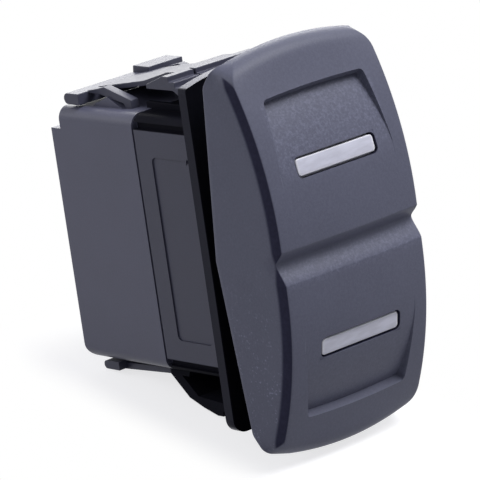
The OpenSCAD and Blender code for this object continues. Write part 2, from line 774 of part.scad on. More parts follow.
module lens(end) {
    color("#b9bac6") mirror([0, 0, end < 0 ? 1 : 0]) at_lens() {
        slab(lens_set, cap_wall) rounded(lens_w, lens_h, lens_r);
        slab(cap_wall - 0.4, cap_wall - 0.4 + lens_lip_t)
            square([lens_w + 2 * lens_lip, lens_h + 2 * lens_lip], center = true);
    }
}

// ---- Carrier and plungers ------------------------------------------------

module rocker_carrier() {
    plate_back = carrier_t - carrier_front;
    color("#d8d4c6") difference() {
        union() {
            translate([-drum_x, pivot_y, 0]) rotate([0, 90, 0])
                cylinder(r = drum_r, h = 2 * drum_x, $fn = 96);
            translate([-bore_x - trunnion_bore + 0.15, pivot_y, 0]) rotate([0, 90, 0])
                cylinder(r = trunnion_r, h = 2 * (bore_x + trunnion_bore - 0.15));
            slab(plate_back - eps, 0) square([2 * drum_x - 1.2, neck_t], center = true);
            slab(-carrier_front, plate_back) square([2 * drum_x, carrier_h], center = true);
            both_ends() both_sides() profile(pole_x - 1, pole_x + 0.2)
                polygon([[plate_back - eps, 0], [plate_back - eps, 9],
                         [plate_back + 3, neck_t / 2 - eps], [plate_back + 3, 0]]);
            for (x = [-pole_x, pole_x]) rod(tube_r, pivot_y, tube_end, x);
        }
        for (x = [-pole_x, pole_x]) rod(bore_r, spring_y, tube_end + 1, x);
        both_ends() slab(-carrier_front - 1, plate_back + 1) translate([0, lens_z])
            square([lens_w - 0.8, lens_h + 2.2], center = true);
    }
}

module plunger(x) {
    color("#e7e3d6") translate([x, 0, 0]) rotate([-90, 0, 0]) rotate_extrude()
        intersection() {
            union() {
                translate([0, tip_y - plunger_r]) circle(r = plunger_r);
                translate([0, shoulder_y]) square([plunger_r, tip_y - plunger_r - shoulder_y]);
                translate([0, shoulder_y - 1.4]) square([0.95, 2]);
            }
            square([plunger_r, tip_y + 1]);
        }
}

// Round wire swept along a helix
module plunger_spring(x) {
    sides = 6;
    per_turn = 14;
    coil_r = bore_r - spring_wire / 2 - 0.12;
    rings = spring_turns * per_turn;
    rise = spring_len - spring_wire;
    points = [for (k = [0 : rings], j = [0 : sides - 1]) let (
        a = 360 * k / per_turn, b = 360 * j / sides,
        r = coil_r + spring_wire / 2 * cos(b))
        [r * cos(a), rise * k / rings + spring_wire / 2 * (1 + sin(b)), r * sin(a)]];
    walls = [for (k = [0 : rings - 1], j = [0 : sides - 1]) let (
        a = k * sides + j, b = k * sides + (j + 1) % sides)
        each [[a, a + sides, b + sides], [a, b + sides, b]]];
    caps = [[for (j = [0 : sides - 1]) j], [for (j = [sides - 1 : -1 : 0]) rings * sides + j]];
    color("#9aa0a8") translate([x, spring_y, 0])
        polyhedron(points = points, faces = concat(walls, caps));
}

// ---- Contact blades ------------------------------------------------------

module blade_outline() {
    centre_y = tip_y - dip_r;
    difference() {
        union() {
            translate([arm_y, -blade_reach]) square([blade_t, 2 * blade_reach]);
            intersection() {
                translate([centre_y, 0]) circle(r = dip_r + blade_t, $fn = 96);
                translate([arm_y, -dip_r]) square([dip_r, 2 * dip_r]);
            }
        }
        translate([centre_y, 0]) circle(r = dip_r, $fn = 96);
    }
}

module contact_blade(x) {
    color("#b98a55") difference() {
        profile(x - blade_w / 2, x + blade_w / 2) blade_outline();
        for (z = [-contact_z, contact_z])
            rod(contact_r / 2 + 0.02, arm_y - 1, arm_y + blade_t + 1, x, z);
    }
}

// Domed rivets through both ends of a blade
module moving_contacts(x) {
    dome_r = 4;
    rear = arm_y + blade_t;
    color("#d9d9dc") for (z = [-contact_z, contact_z]) {
        rod(contact_r / 2, arm_y - 0.3, rear + eps, x, z);
        rod(contact_r * 0.75, arm_y - 0.3, arm_y, x, z);
        intersection() {
            rod(contact_r, rear, rear + contact_h, x, z);
            translate([x, rear + contact_h - dome_r, z]) sphere(r = dome_r, $fn = 96);
        }
    }
}

bracket();
base();
drum_seal();
common_terminal(-pole_x);  // common_terminal_a
common_terminal(pole_x);  // common_terminal_b
throw_terminal(-pole_x, 1);  // upper_terminal_a
throw_terminal(pole_x, 1);  // upper_terminal_b
throw_terminal(-pole_x, -1);  // lower_terminal_a
throw_terminal(pole_x, -1);  // lower_terminal_b
fixed_contacts();
lamp_terminal(-1, 1);  // upper_lamp_terminal_a
lamp_terminal(1, 1);  // upper_lamp_terminal_b
lamp_terminal(-1, -1);  // lower_lamp_terminal_a
lamp_terminal(1, -1);  // lower_lamp_terminal_b
lamp(1);  // upper_lamp
lamp(-1);  // lower_lamp
lamp_leads();
rocker_cap();
lens(1);  // upper_lens
lens(-1);  // lower_lens
rocker_carrier();
plunger(-pole_x);  // plunger_a
plunger(pole_x);  // plunger_b
plunger_spring(-pole_x);  // plunger_spring_a
plunger_spring(pole_x);  // plunger_spring_b
contact_blade(-pole_x);  // contact_blade_a
contact_blade(pole_x);  // contact_blade_b
moving_contacts(-pole_x);  // moving_contacts_a
moving_contacts(pole_x);  // moving_contacts_b
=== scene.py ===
"""Dressed scene of a three-position panel rocker switch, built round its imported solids."""

from __future__ import annotations

import json
import logging
import math
from collections.abc import Iterable, Sequence
from dataclasses import dataclass
from enum import Enum

import bmesh
import bpy
from mathutils import Matrix, Vector


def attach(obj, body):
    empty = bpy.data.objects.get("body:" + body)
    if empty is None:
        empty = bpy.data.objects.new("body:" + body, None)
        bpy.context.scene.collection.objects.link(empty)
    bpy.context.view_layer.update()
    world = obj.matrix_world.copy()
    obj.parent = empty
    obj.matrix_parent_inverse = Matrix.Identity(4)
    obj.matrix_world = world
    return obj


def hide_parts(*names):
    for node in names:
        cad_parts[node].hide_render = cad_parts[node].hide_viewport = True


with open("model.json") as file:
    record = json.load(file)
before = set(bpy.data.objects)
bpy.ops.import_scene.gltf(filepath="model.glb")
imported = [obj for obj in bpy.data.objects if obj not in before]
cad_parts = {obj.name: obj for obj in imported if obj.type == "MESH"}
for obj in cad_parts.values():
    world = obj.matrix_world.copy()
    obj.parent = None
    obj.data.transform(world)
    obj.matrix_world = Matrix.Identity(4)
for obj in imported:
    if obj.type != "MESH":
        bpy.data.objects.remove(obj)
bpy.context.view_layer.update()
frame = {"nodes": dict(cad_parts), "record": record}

MM = 0.001
log = logging.getLogger("rocker_switch")
Flat = tuple[float, float]
Point = tuple[float, float, float]
Colour = tuple[float, float, float]
Settings = dict[str, object]
Sockets = dict[object, object]


def lerp(a: float, b: float, t: float) -> float:
    """Mixes two numbers, a at t = 0 and b at t = 1."""
    return a + (b - a) * t


def clamp(value: float) -> float:
    """Holds a value between 0 and 1."""
    return max(0.0, min(1.0, value))


def spread(low: float, high: float, count: int) -> list[float]:
    """Lists count even steps from low up to, but without, high."""
    return [low + (high - low) * i / count for i in range(count)]


def on_side(side: int, near: float, far: float) -> Flat:
    """Two distances from the middle as limits, on the plus side (1) or the minus side (-1)."""
    return (near, far) if side > 0 else (-far, -near)


# ---- Shader maths ---------------------------------------------------------


@dataclass
class Signal:
    """An output of a node, which adds Math nodes as it is used in sums."""

    bench: ShaderBench
    socket: bpy.types.NodeSocket

    def _math(self, operation: str, *values: object) -> Signal:
        """Adds one Math node.

        Args:
            operation: Name of the Math node's operation.
            values: Numbers or signals for its inputs, in order.

        Returns:
            The node's result.
        """
        return self.bench.add("ShaderNodeMath", {"operation": operation}, dict(enumerate(values)))

    def __add__(self, other: object) -> Signal:
        """Sum with a number or signal."""
        return self._math("ADD", self, other)

    __radd__ = __add__

    def __sub__(self, other: object) -> Signal:
        """Difference from a number or signal."""
        return self._math("SUBTRACT", self, other)

    def __rsub__(self, other: object) -> Signal:
        """A number or signal less this one."""
        return self._math("SUBTRACT", other, self)

    def __mul__(self, other: object) -> Signal:
        """Product with a number or signal."""
        return self._math("MULTIPLY", self, other)

    __rmul__ = __mul__

    def __abs__(self) -> Signal:
        """Size without its sign."""
        return self._math("ABSOLUTE", self)

    def other(self, out: object) -> Signal:
        """Another output of the same node, by name or place."""
        return Signal(self.bench, self.socket.node.outputs[out])

    def root(self) -> Signal:
        """Square root."""
        return self._math("SQRT", self)

    def above(self, floor: float) -> Signal:
        """The larger of this signal and a number."""
        return self._math("MAXIMUM", self, floor)

    def below(self, ceiling: float) -> Signal:
        """The smaller of this signal and a number."""
        return self._math("MINIMUM", self, ceiling)

    def ramp(self, low: float, high: float) -> Signal:
        """Smooth step from 0 at low to 1 at high, or falling where high is the smaller.

        Args:
            low: Value that gives 0.
            high: Value that gives 1.

        Returns:
            The stepped signal.
        """
        rising = high > low
        sockets = {
            "Value": self,
            "From Min": min(low, high),
            "From Max": max(low, high),
            "To Min": 0.0 if rising else 1.0,
            "To Max": 1.0 if rising else 0.0,
        }
        return self.bench.add("ShaderNodeMapRange", {"interpolation_type": "SMOOTHSTEP"}, sockets)


class ShaderBench:
    """One node tree, with the few calls that every finish uses."""

    def __init__(self, owner: bpy.types.Material | bpy.types.World) -> None:
        """Empties the node tree of a material or a world.

        Args:
            owner: The material or world.
        """
        owner.use_nodes = True
        self.owner = owner
        self.tree = owner.node_tree
        self.tree.nodes.clear()
        self._place: Signal | None = None

    @classmethod
    def material(cls, name: str) -> ShaderBench:
        """Opens the tree of a new material."""
        return cls(bpy.data.materials.new(name))

    def wire(self, socket: bpy.types.NodeSocket, value: object) -> None:
        """Sets a socket to a number or colour, or links it to a signal."""
        if isinstance(value, Signal):
            self.tree.links.new(value.socket, socket)
        elif isinstance(value, tuple) and socket.type == "RGBA":
            socket.default_value = (*value, 1.0)
        else:
            socket.default_value = value

    def node(self, kind: str, settings: Settings, sockets: Sockets) -> bpy.types.Node:
        """Adds a node of any type.

        Args:
            kind: The node's type.
            settings: Properties that are set first.
            sockets: Values or signals for its inputs, by name or place.

        Returns:
            The node.
        """
        made = self.tree.nodes.new(kind)
        for key, value in settings.items():
            setattr(made, key, value)
        for key, value in sockets.items():
            self.wire(made.inputs[key], value)
        return made

    def add(self, kind: str, settings: Settings, sockets: Sockets, out: object = 0) -> Signal:
        """Adds a node and hands back the output of the name or place out."""
        return Signal(self, self.node(kind, settings, sockets).outputs[out])

    def place(self) -> Signal:
        """Place on the object in its own space, in metres."""
        if self._place is None:
            self._place = self.add("ShaderNodeTexCoord", {}, {}, "Object")
        return self._place

    def axes(self) -> tuple[Signal, Signal, Signal]:
        """Place on the object as three signals, in millimetres."""
        first = self.add("ShaderNodeSeparateXYZ", {}, {0: self.place()})
        x, y, z = (first.other(i) * (1 / MM) for i in range(3))
        return x, y, z

    def noise(
        self, size_mm: float, detail: float = 2.0, roughness: float = 0.5, stretch: Point = (1, 1, 1)
    ) -> Signal:
        """Soft noise whose features are about one size.

        Args:
            size_mm: Size of a feature, in millimetres.
            detail: Finer octaves that are added.
            roughness: Strength of those octaves.
            stretch: Scale along each axis.

        Returns:
            Noise about 0.5.
        """
        scale = self.add("ShaderNodeVectorMath", {"operation": "MULTIPLY"}, {0: self.place(), 1: stretch})
        return self.add(
            "ShaderNodeTexNoise",
            {"noise_dimensions": "3D"},
            {"Vector": scale, "Scale": 1 / (size_mm * MM), "Detail": detail, "Roughness": roughness},
            "Fac",
        )

    def cells(self, size_mm: float) -> Signal:
        """Distance to the nearest of a scatter of points, for pits and specks."""
        return self.add(
            "ShaderNodeTexVoronoi",
            {"feature": "F1"},
            {"Vector": self.place(), "Scale": 1 / (size_mm * MM)},
            "Distance",
        )

    def mix(self, amount: object, first: object, second: object) -> Signal:
        """Mixes two colours.

        Args:
            amount: Share of the second colour.
            first: A colour or a signal that carries one.
            second: A colour or a signal that carries one.

        Returns:
            The mixed colour.
        """
        return self.add("ShaderNodeMix", {"data_type": "RGBA"}, {0: amount, 6: first, 7: second}, 2)

    def relief(self, height: Signal, depth_mm: float) -> Signal:
        """Turns a height between 0 and 1 into a bumped normal that is depth_mm deep."""
        sockets = {"Height": height, "Distance": depth_mm * MM, "Strength": 1.0}
        return self.add("ShaderNodeBump", {}, sockets, "Normal")

    def seen(self) -> Signal:
        """1 for what the camera sees, straight or by way of a gloss or glass."""
        rays = self.add("ShaderNodeLightPath", {}, {}, "Is Camera Ray")
        return rays + rays.other("Is Glossy Ray") + rays.other("Is Transmission Ray")

    def either(self, amount: object, first: Signal, second: Signal) -> Signal:
        """Mixes two shaders, all of the second where amount is 1."""
        return self.add("ShaderNodeMixShader", {}, {0: amount, 1: first, 2: second})

    def principled(self, **inputs: object) -> Signal:
        """Adds a Principled shader, where an underscore in an input's name stands for a space."""
        sockets = {key.replace("_", " "): value for key, value in inputs.items()}
        return self.add("ShaderNodeBsdfPrincipled", {}, sockets)

    def cover(self, shader: Signal) -> bpy.types.Material | bpy.types.World:
        """Ends the tree in a shader and hands back its owner."""
        kind = "World" if isinstance(self.owner, bpy.types.World) else "Material"
        self.node(f"ShaderNodeOutput{kind}", {}, {"Surface": shader})
        return self.owner

    def shadowed(self, amount: object, body: Signal, colour: Colour) -> bpy.types.Material:
        """Ends the tree in a shader that gives way to a dull dark one, which is painted shade.

        Args:
            amount: 1 where the painted shade takes over.
            body: The shader elsewhere.
            colour: Colour of the painted shade.

        Returns:
            The finished material.
        """
        # Painted shade: a dull dark shader with no specular, mixed in by a mask where shade falls.
        tone = self.mix(self.noise(0.5), shade(colour, 0.75), shade(colour, 1.25))
        dark = self.principled(Base_Color=tone, Roughness=0.85, Specular_IOR_Level=0.0)
        return self.cover(self.either(amount, body, dark))

    def dress(self, **inputs: object) -> bpy.types.Material:
        """Ends the tree in a Principled shader with these inputs."""
        return self.cover(self.principled(**inputs))


def shade(colour: Colour, factor: float) -> Colour:
    """Makes a colour lighter or darker by a factor."""
    return (colour[0] * factor, colour[1] * factor, colour[2] * factor)


# ---- The face -------------------------------------------------------------


@dataclass(frozen=True)
class FaceForm:
    """The curves that the cap, its finish, the lenses and their slots share, in millimetres."""

    half_w: float = 13.0
    half_h: float = 28.0
    front: float = 16.75
    face_r: float = 50.0
    face_flat: float = 3.0
    face_crown: float = 0.4
    end_crown: float = 1.6
    groove_cut: float = 1.55
    groove_z: float = 0.5
    groove_up: float = 1.75
    groove_down: float = 2.75
    groove_root: float = 0.1
    groove_ease: float = 0.35
    lens_z: float = 12.35
    lens_w: float = 14.0
    lens_h: float = 2.35
    lens_r: float = 0.55
    lens_gap: float = 0.3

    def face(self, z: float) -> float:
        """Depth of the face's middle line at a height, groove included."""
        reach = max(abs(z) - self.face_flat, 0.0)
        groove = min(max((z - self.groove_z) / self.groove_up, (self.groove_z - z) / self.groove_down), 1.0)
        bow = self.face_r - math.sqrt(self.face_r**2 - reach**2)
        straight = 1 - math.sqrt(groove**2 + self.groove_root**2) + self.groove_root
        dip = lerp(max(straight, 0.0), (1 + math.cos(math.pi * groove)) / 2, self.groove_ease)
        return -self.front + bow + self.groove_cut * dip

    def crown_at(self, x: float) -> float:
        """How far the end edges fall back at a distance from the middle."""
        return self.end_crown * (x / self.half_w) ** 2

    def lens_place(self, end: int) -> Matrix:
        """Frame of a lens, in millimetres, with -Y square to the face.

        Args:
            end: 1 for the upper lens, -1 for the lower.

        Returns:
            The transform from the lens to the part.
        """
        tilt = math.asin((self.lens_z - self.face_flat) / self.face_r)
        depth = self.face(self.lens_z) + self.face_crown * (self.lens_w / (2 * self.half_w)) ** 2
        upper = Matrix.Translation((0, depth, self.lens_z)) @ Matrix.Rotation(-tilt, 4, "X")
        return upper if end > 0 else Matrix.Scale(-1, 4, (0, 0, 1)) @ upper

    def on_lens(self, end: int, y: float, outline: Sequence[Flat]) -> list[Point]:
        """Lays an outline square to the face at a lens, at depth y."""
        place = self.lens_place(end)
        return [tuple(place @ Vector((x, y, z))) for x, z in outline]


# ---- Finishes -------------------------------------------------------------


@dataclass(frozen=True)
class Finish:
    """What every finish has: the record's slot, and a colour."""

    slot: str
    colour: Colour

    def make(self) -> bpy.types.Material:
        """Builds the finish as a material, which each kind does its own way."""
        raise NotImplementedError


@dataclass(frozen=True)
class MouldedPlastic(Finish):
    """Satin glass-filled moulding: fine orange-peel, faint flow clouds and a few pale specks."""

    roughness: float = 0.42
    grain_mm: float = 0.22
    grain_depth_mm: float = 0.004
    cloud_mm: float = 6.0
    cloud: float = 0.10
    speck_mm: float = 0.9
    speck_r: Flat = (0.085, 0.03)
    specks: float = 0.25
    specular: float = 0.5

    def shadow(self, bench: ShaderBench) -> Signal | None:
        """Share of the surface that gets painted shade, as in a dark recess, where a kind has some."""
        return None

    def make(self) -> bpy.types.Material:
        """Builds the material."""
        bench = ShaderBench.material(self.slot)
        clouds = bench.noise(self.cloud_mm, 3.0)
        fine = bench.noise(self.grain_mm, 2.0, 0.6)
        patches = bench.noise(3.0, 1.0).ramp(0.52, 0.62) * self.specks
        speck = bench.cells(self.speck_mm).ramp(*self.speck_r) * patches
        base = bench.mix(clouds, shade(self.colour, 1 - self.cloud), shade(self.colour, 1 + self.cloud))
        grained = bench.mix(fine.ramp(0.35, 0.75) * 0.5, base, shade(self.colour, 1.22))
        body = bench.principled(
            Base_Color=bench.mix(speck, grained, shade(self.colour, 3.2)),
            Roughness=clouds * 0.10 + fine * 0.08 + (self.roughness - 0.09),
            Normal=bench.relief(fine, self.grain_depth_mm),
            Specular_IOR_Level=self.specular,
        )
        # Where a kind has a painted-shade mask, a dull shader at a tenth of the colour stands in for shade.
        dark = self.shadow(bench)
        return bench.cover(body) if dark is None else bench.shadowed(dark, body, shade(self.colour, 0.1))


@dataclass(frozen=True)
class BracketPlastic(MouldedPlastic):
    """The bracket's moulding, with a dull painted shade in its side channels, on the deck below the latch
    and where the cap hides the flange.
    """

    # Limits of the painted shade: the flange's front, its outer sides, and the deck below the latch.
    front_y: Flat = (-1.5, -1.66)
    rim_x: Flat = (11.9, 12.3)
    deck_front: Flat = (0.2, 0.6)
    deck_rear: Flat = (16.0, 15.6)
    deck_foot: Flat = (16.15, 16.3)
    deck_top: Flat = (19.9, 19.3)

    def shadow(self, bench: ShaderBench) -> Signal | None:
        """Painted shade on the front and outer sides of the flange, in the side channels and on the deck
        below the latch.
        """
        x, y, z = bench.axes()
        # Painted shade on the deck and in the channels under the latch, where the plate above casts shadow.
        deck = y.ramp(*self.deck_front) * y.ramp(*self.deck_rear) * abs(z).ramp(*self.deck_foot)
        deck = deck * z.ramp(*self.deck_top)
        return (y.ramp(*self.front_y) + abs(x).ramp(*self.rim_x) * 0.7 + deck * 0.9).below(1.0)


@dataclass(frozen=True)
class RockerPlastic(Finish):
    """Grained moulding of the cap: spark-eroded face, coarser scoop floors partly lightened as a painted
    highlight, and smooth shoulder edges and lens slots darkened as painted shade.
    """

    form: FaceForm = FaceForm()
    # Colour of the painted shade on the shoulder band and in the lens slots.
    painted_shade_colour: Colour = (0.032, 0.032, 0.058)
    roughness: float = 0.5
    grain_mm: float = 0.34
    grain_depth_mm: float = 0.018
    cloud_mm: float = 7.0
    speck_mm: float = 0.42
    patch_mm: float = 2.4
    flank_x: Flat = (12.3, 12.55)
    # edge_x to edge_depth place the painted shade on the shoulder band.
    edge_x: Flat = (12.35, 12.5)
    edge_start: Flat = (0.1, 0.4)
    edge_depth: Flat = (2.3, 1.7)
    # scoop_x to lip_foot place the lighter coarse grain on the scoop floors and the groove's lower lip,
    # partly a painted highlight.
    scoop_x: Flat = (10.1, 9.5)
    scoop_fade: Flat = (9.5, 14.0)
    scoop_end: Flat = (21.6, 20.9)
    lip_top: Flat = (0.4, -0.4)
    lip_foot: Flat = (-3.6, -2.2)
    # slot_x to slot_depth place the painted shade on the walls of the lens slots.
    slot_x: Flat = (7.5, 7.36)
    slot_z: Flat = (1.66, 1.52)
    slot_depth: Flat = (0.36, 0.5)

    def below_face(self, y: Signal, height: Signal) -> Signal:
        """Depth below the face's long arc."""
        reach = (height - self.form.face_flat).above(0.0)
        bow = (self.form.face_r**2 - reach * reach).above(1.0).root()
        return y + self.form.front - self.form.face_r + bow

    def make(self) -> bpy.types.Material:
        """Builds the material."""
        bench = ShaderBench.material(self.slot)
        x, y, z = bench.axes()
        beside, height = abs(x), abs(z)
        below = self.below_face(y, height)
        flank = beside.ramp(*self.flank_x)
        # Painted shade on the shoulder band between face and side, where the face turns away from the
        # light.
        edge = beside.ramp(*self.edge_x) * below.ramp(*self.edge_depth) * below.ramp(*self.edge_start)
        scoop = beside.ramp(*self.scoop_x) * height.ramp(*self.scoop_fade) * height.ramp(*self.scoop_end)
        lip = z.ramp(*self.lip_top) * z.ramp(*self.lip_foot) * (1 - flank)
        # Coarser, lighter grain on the scoop floors and the groove's lower lip: real grain, plus a painted
        # highlight that is strongest on the upper scoop and the lip.
        grain_and_highlight = scoop * (z.ramp(-6.0, 12.0) * 0.75 + 0.25) + lip * 0.8
        # Painted shade on the walls of the lens slots, where the gap lies in shadow.
        slot = beside.ramp(*self.slot_x) * abs(height - self.form.lens_z).ramp(*self.slot_z)
        slot = slot * below.ramp(*self.slot_depth)
        grain = bench.noise(self.grain_mm, 3.0, 0.65)
        coarse = bench.noise(self.grain_mm * 1.2, 3.0, 0.7)
        cloud = bench.noise(self.cloud_mm, 3.0)
        speck = bench.noise(self.speck_mm, 3.0, 0.7).ramp(0.56, 0.7)
        speck = speck * bench.noise(self.patch_mm, 1.0).ramp(0.44, 0.6)
        low_flank = flank * (1 - edge) * (z.ramp(4.0, -20.0) * 0.75 + 0.12)
        body = bench.mix(cloud, shade(self.colour, 0.9), shade(self.colour, 1.1))
        body = bench.mix(grain.ramp(0.32, 0.72) * 0.6, body, shade(self.colour, 1.25))
        body = bench.mix(coarse.ramp(0.42, 0.7) * grain_and_highlight * 0.55, body, shade(self.colour, 1.9))
        body = bench.mix(speck * low_flank, body, shade(self.colour, 2.6))
        depth = grain * (1 - edge) + coarse * grain_and_highlight * 1.2
        surface = bench.principled(
            Base_Color=body,
            Roughness=grain * 0.12 + (self.roughness - 0.06),
            Normal=bench.relief(depth, self.grain_depth_mm),
            Specular_IOR_Level=0.2,
        )
        # The shoulder band and the slot walls turn to a dull painted shade.
        return bench.shadowed((edge + slot).below(1.0) * 0.97, surface, self.painted_shade_colour)


@dataclass(frozen=True)
class FrostedLens(Finish):
    """Frosted light guide: a milky body, faint flow streaks, and a paler rim where light collects."""

    form: FaceForm = FaceForm()
    roughness: float = 0.38
    rim_colour: Colour = (0.78, 0.78, 0.83)
    rim_x: Flat = (6.45, 6.85)
    rim_z: Flat = (0.82, 1.08)
    streak_mm: float = 1.2
    frost_mm: float = 0.12

    def make(self) -> bpy.types.Material:
        """Builds the material."""
        bench = ShaderBench.material(self.slot)
        x, _, z = bench.axes()
        streaks = bench.noise(self.streak_mm, 3.0, 0.55, (0.35, 1.0, 1.6))
        frost = bench.noise(self.frost_mm, 2.0)
        pale = abs(x).ramp(*self.rim_x) + abs(abs(z) - self.form.lens_z).ramp(*self.rim_z)
        milk = bench.mix(streaks.ramp(0.3, 0.7), shade(self.colour, 0.93), shade(self.colour, 1.1))
        return bench.dress(
            Base_Color=bench.mix(pale.ramp(0.0, 1.6) * 0.8, milk, self.rim_colour),
            Roughness=frost * 0.12 + (self.roughness - 0.06),
            Normal=bench.relief(frost, 0.003),
            Specular_IOR_Level=0.5,
        )


@dataclass(frozen=True)
class PlatedMetal(Finish):
    """Stamped or drawn metal with rolling lines, faint tarnish and a sheared edge's dullness."""

    roughness: float = 0.3
    grain: Point = (1.0, 0.08, 1.0)
    line_mm: float = 0.16
    cloud_mm: float = 2.6
    tarnish: float = 0.3
    warm: Colour = (0.5, 0.4, 0.24)

    def make(self) -> bpy.types.Material:
        """Builds the material."""
        bench = ShaderBench.material(self.slot)
        lines = bench.noise(self.line_mm, 3.0, 0.6, self.grain)
        dull = bench.noise(self.cloud_mm, 3.0).ramp(0.4, 0.72)
        colour = bench.mix(lines, shade(self.colour, 0.9), self.colour)
        return bench.dress(
            Base_Color=bench.mix(dull * self.tarnish, colour, self.warm),
            Metallic=1.0,
            Roughness=lines * 0.14 + dull * 0.12 + (self.roughness - 0.1),
            Normal=bench.relief(lines, 0.003),
        )


@dataclass(frozen=True)
class MouldedNylon(Finish):
    """Unfilled natural moulding with soft flow marks and a waxy surface."""

    roughness: float = 0.46

    def make(self) -> bpy.types.Material:
        """Builds the material."""
        bench = ShaderBench.material(self.slot)
        flow = bench.noise(3.5, 2.0, 0.5, (1.0, 0.5, 1.0))
        fine = bench.noise(0.3, 2.0)
        return bench.dress(
            Base_Color=bench.mix(flow, shade(self.colour, 0.94), shade(self.colour, 1.04)),
            Roughness=fine * 0.1 + (self.roughness - 0.05),
            Normal=bench.relief(fine, 0.003),
            Subsurface_Weight=0.12,
            Subsurface_Scale=0.001,
        )


@dataclass(frozen=True)
class SealRubber(Finish):
    """Matt moulded rubber with a fine powdery bloom."""

    def make(self) -> bpy.types.Material:
        """Builds the material."""
        bench = ShaderBench.material(self.slot)
        bloom = bench.noise(0.8, 3.0)
        fine = bench.noise(0.15, 2.0)
        return bench.dress(
            Base_Color=bench.mix(bloom.ramp(0.4, 0.75) * 0.35, self.colour, shade(self.colour, 2.0)),
            Roughness=bloom * 0.12 + 0.68,
            Normal=bench.relief(fine, 0.006),
        )


@dataclass(frozen=True)
class CastResin(Finish):
    """Clear cast body of a lamp, with slight ripples."""

    def make(self) -> bpy.types.Material:
        """Builds the material."""
        bench = ShaderBench.material(self.slot)
        ripple = bench.noise(0.9, 2.0)
        return bench.dress(
            Base_Color=bench.mix(ripple, shade(self.colour, 0.96), self.colour),
            Roughness=ripple * 0.06 + 0.08,
            Normal=bench.relief(ripple, 0.004),
            Transmission_Weight=0.75,
            IOR=1.54,
        )


def finishes() -> dict[str, bpy.types.Material]:
    """Makes one material for each slot of the record.

    Returns:
        The materials by slot name.
    """
    charcoal = (0.085, 0.087, 0.132)
    kinds: list[Finish] = [
        BracketPlastic("bracket_plastic", shade(charcoal, 0.66), roughness=0.4, specular=0.22),
        MouldedPlastic("base_plastic", charcoal, roughness=0.4, specks=0.12, specular=0.3),
        RockerPlastic("rocker_plastic", (0.09, 0.094, 0.137)),
        SealRubber("seal_rubber", (0.02, 0.02, 0.022)),
        PlatedMetal("tinned_brass", (0.74, 0.69, 0.56), roughness=0.32),
        PlatedMetal("silver_contact", (0.86, 0.86, 0.87), roughness=0.24, grain=(1, 1, 1), tarnish=0.12),
        CastResin("lamp_resin", (0.86, 0.89, 0.82)),
        PlatedMetal("plated_wire", (0.66, 0.66, 0.68), roughness=0.28, tarnish=0.1),
        FrostedLens("lens_plastic", (0.54, 0.545, 0.65)),
        MouldedNylon("carrier_nylon", (0.66, 0.64, 0.58)),
        MouldedNylon("plunger_nylon", (0.75, 0.73, 0.67), roughness=0.36),
        PlatedMetal("spring_steel", (0.52, 0.53, 0.55), roughness=0.26, tarnish=0.08),
        PlatedMetal("blade_copper", (0.72, 0.5, 0.34), roughness=0.3, warm=(0.4, 0.22, 0.12)),
    ]
    return {kind.slot: kind.make() for kind in kinds}


# ---- Mesh helpers ---------------------------------------------------------


class MeshBuilder:
    """Collects points in millimetres and faces, and turns them into an object in metres."""

    def __init__(self) -> None:
        """Starts with no points and no faces."""
        self.points: list[Point] = []
        self.faces: list[tuple[int, ...]] = []

    def row(self, points: Iterable[Point]) -> list[int]:
        """Adds points and hands back their numbers."""
        start = len(self.points)
        self.points.extend(points)
        return list(range(start, len(self.points)))

    def skin(self, rows: Sequence[Sequence[int]], closed: bool = False) -> None:
        """Joins neighbouring rows of points with quads.

        Args:
            rows: Rows of point numbers, all of one length.
            closed: Whether each row is a loop.
        """
        for low, high in zip(rows, rows[1:]):
            count = len(low)
            for i in range(count if closed else count - 1):
                j = (i + 1) % count
                self.faces.append((low[i], low[j], high[j], high[i]))

    def between(self, first: Iterable[Point], second: Iterable[Point]) -> None:
        """Adds a solid between two outlines with as many points."""
        ends = [self.row(first), self.row(second)]
        self.skin(ends, closed=True)
        self.faces += [tuple(ends[0]), tuple(reversed(ends[1]))]

    def prism(self, x0: float, x1: float, outline: Sequence[Flat]) -> None:
        """Adds a solid with one outline in Y and Z, from x0 to x1."""
        self.between([(x0, y, z) for y, z in outline], [(x1, y, z) for y, z in outline])

    def box(self, x: Flat, y: Flat, z: Flat) -> None:
        """Adds a box between two limits on each axis."""
        self.prism(*x, [(y[0], z[0]), (y[1], z[0]), (y[1], z[1]), (y[0], z[1])])

    def to_object(self, name: str, smooth_angle: float = 40.0) -> bpy.types.Object:
        """Makes the object, with outward faces and smooth shading.

        Args:
            name: Name of the piece.
            smooth_angle: Edges sharper than this, in degrees, stay crisp.

        Returns:
            The new object, linked to the scene.
        """
        mesh = bpy.data.meshes.new(name)
        mesh.from_pydata([tuple(c * MM for c in p) for p in self.points], [], self.faces)
        weld(mesh, 0.0005)
        smooth(mesh, smooth_angle)
        return linked(name, mesh)


def weld(mesh: bpy.types.Mesh, reach_mm: float, flat: float | None = None) -> None:
    """Merges doubled points and turns all faces outward.

    Args:
        mesh: The mesh.
        reach_mm: Points closer than this, in millimetres, become one.
        flat: Faces that meet at less than this angle, in degrees, become one too.
    """
    work = bmesh.new()
    work.from_mesh(mesh)
    bmesh.ops.remove_doubles(work, verts=work.verts, dist=reach_mm * MM)
    if flat is not None:
        bmesh.ops.dissolve_limit(work, angle_limit=math.radians(flat), verts=work.verts, edges=work.edges)
    bmesh.ops.recalc_face_normals(work, faces=work.faces)
    work.to_mesh(mesh)
    work.free()


def smooth(mesh: bpy.types.Mesh, sharp: float) -> None:
    """Shades a mesh smooth, except at edges sharper than an angle in degrees."""
    mesh.polygons.foreach_set("use_smooth", [True] * len(mesh.polygons))
    mesh.set_sharp_from_angle(angle=math.radians(sharp))


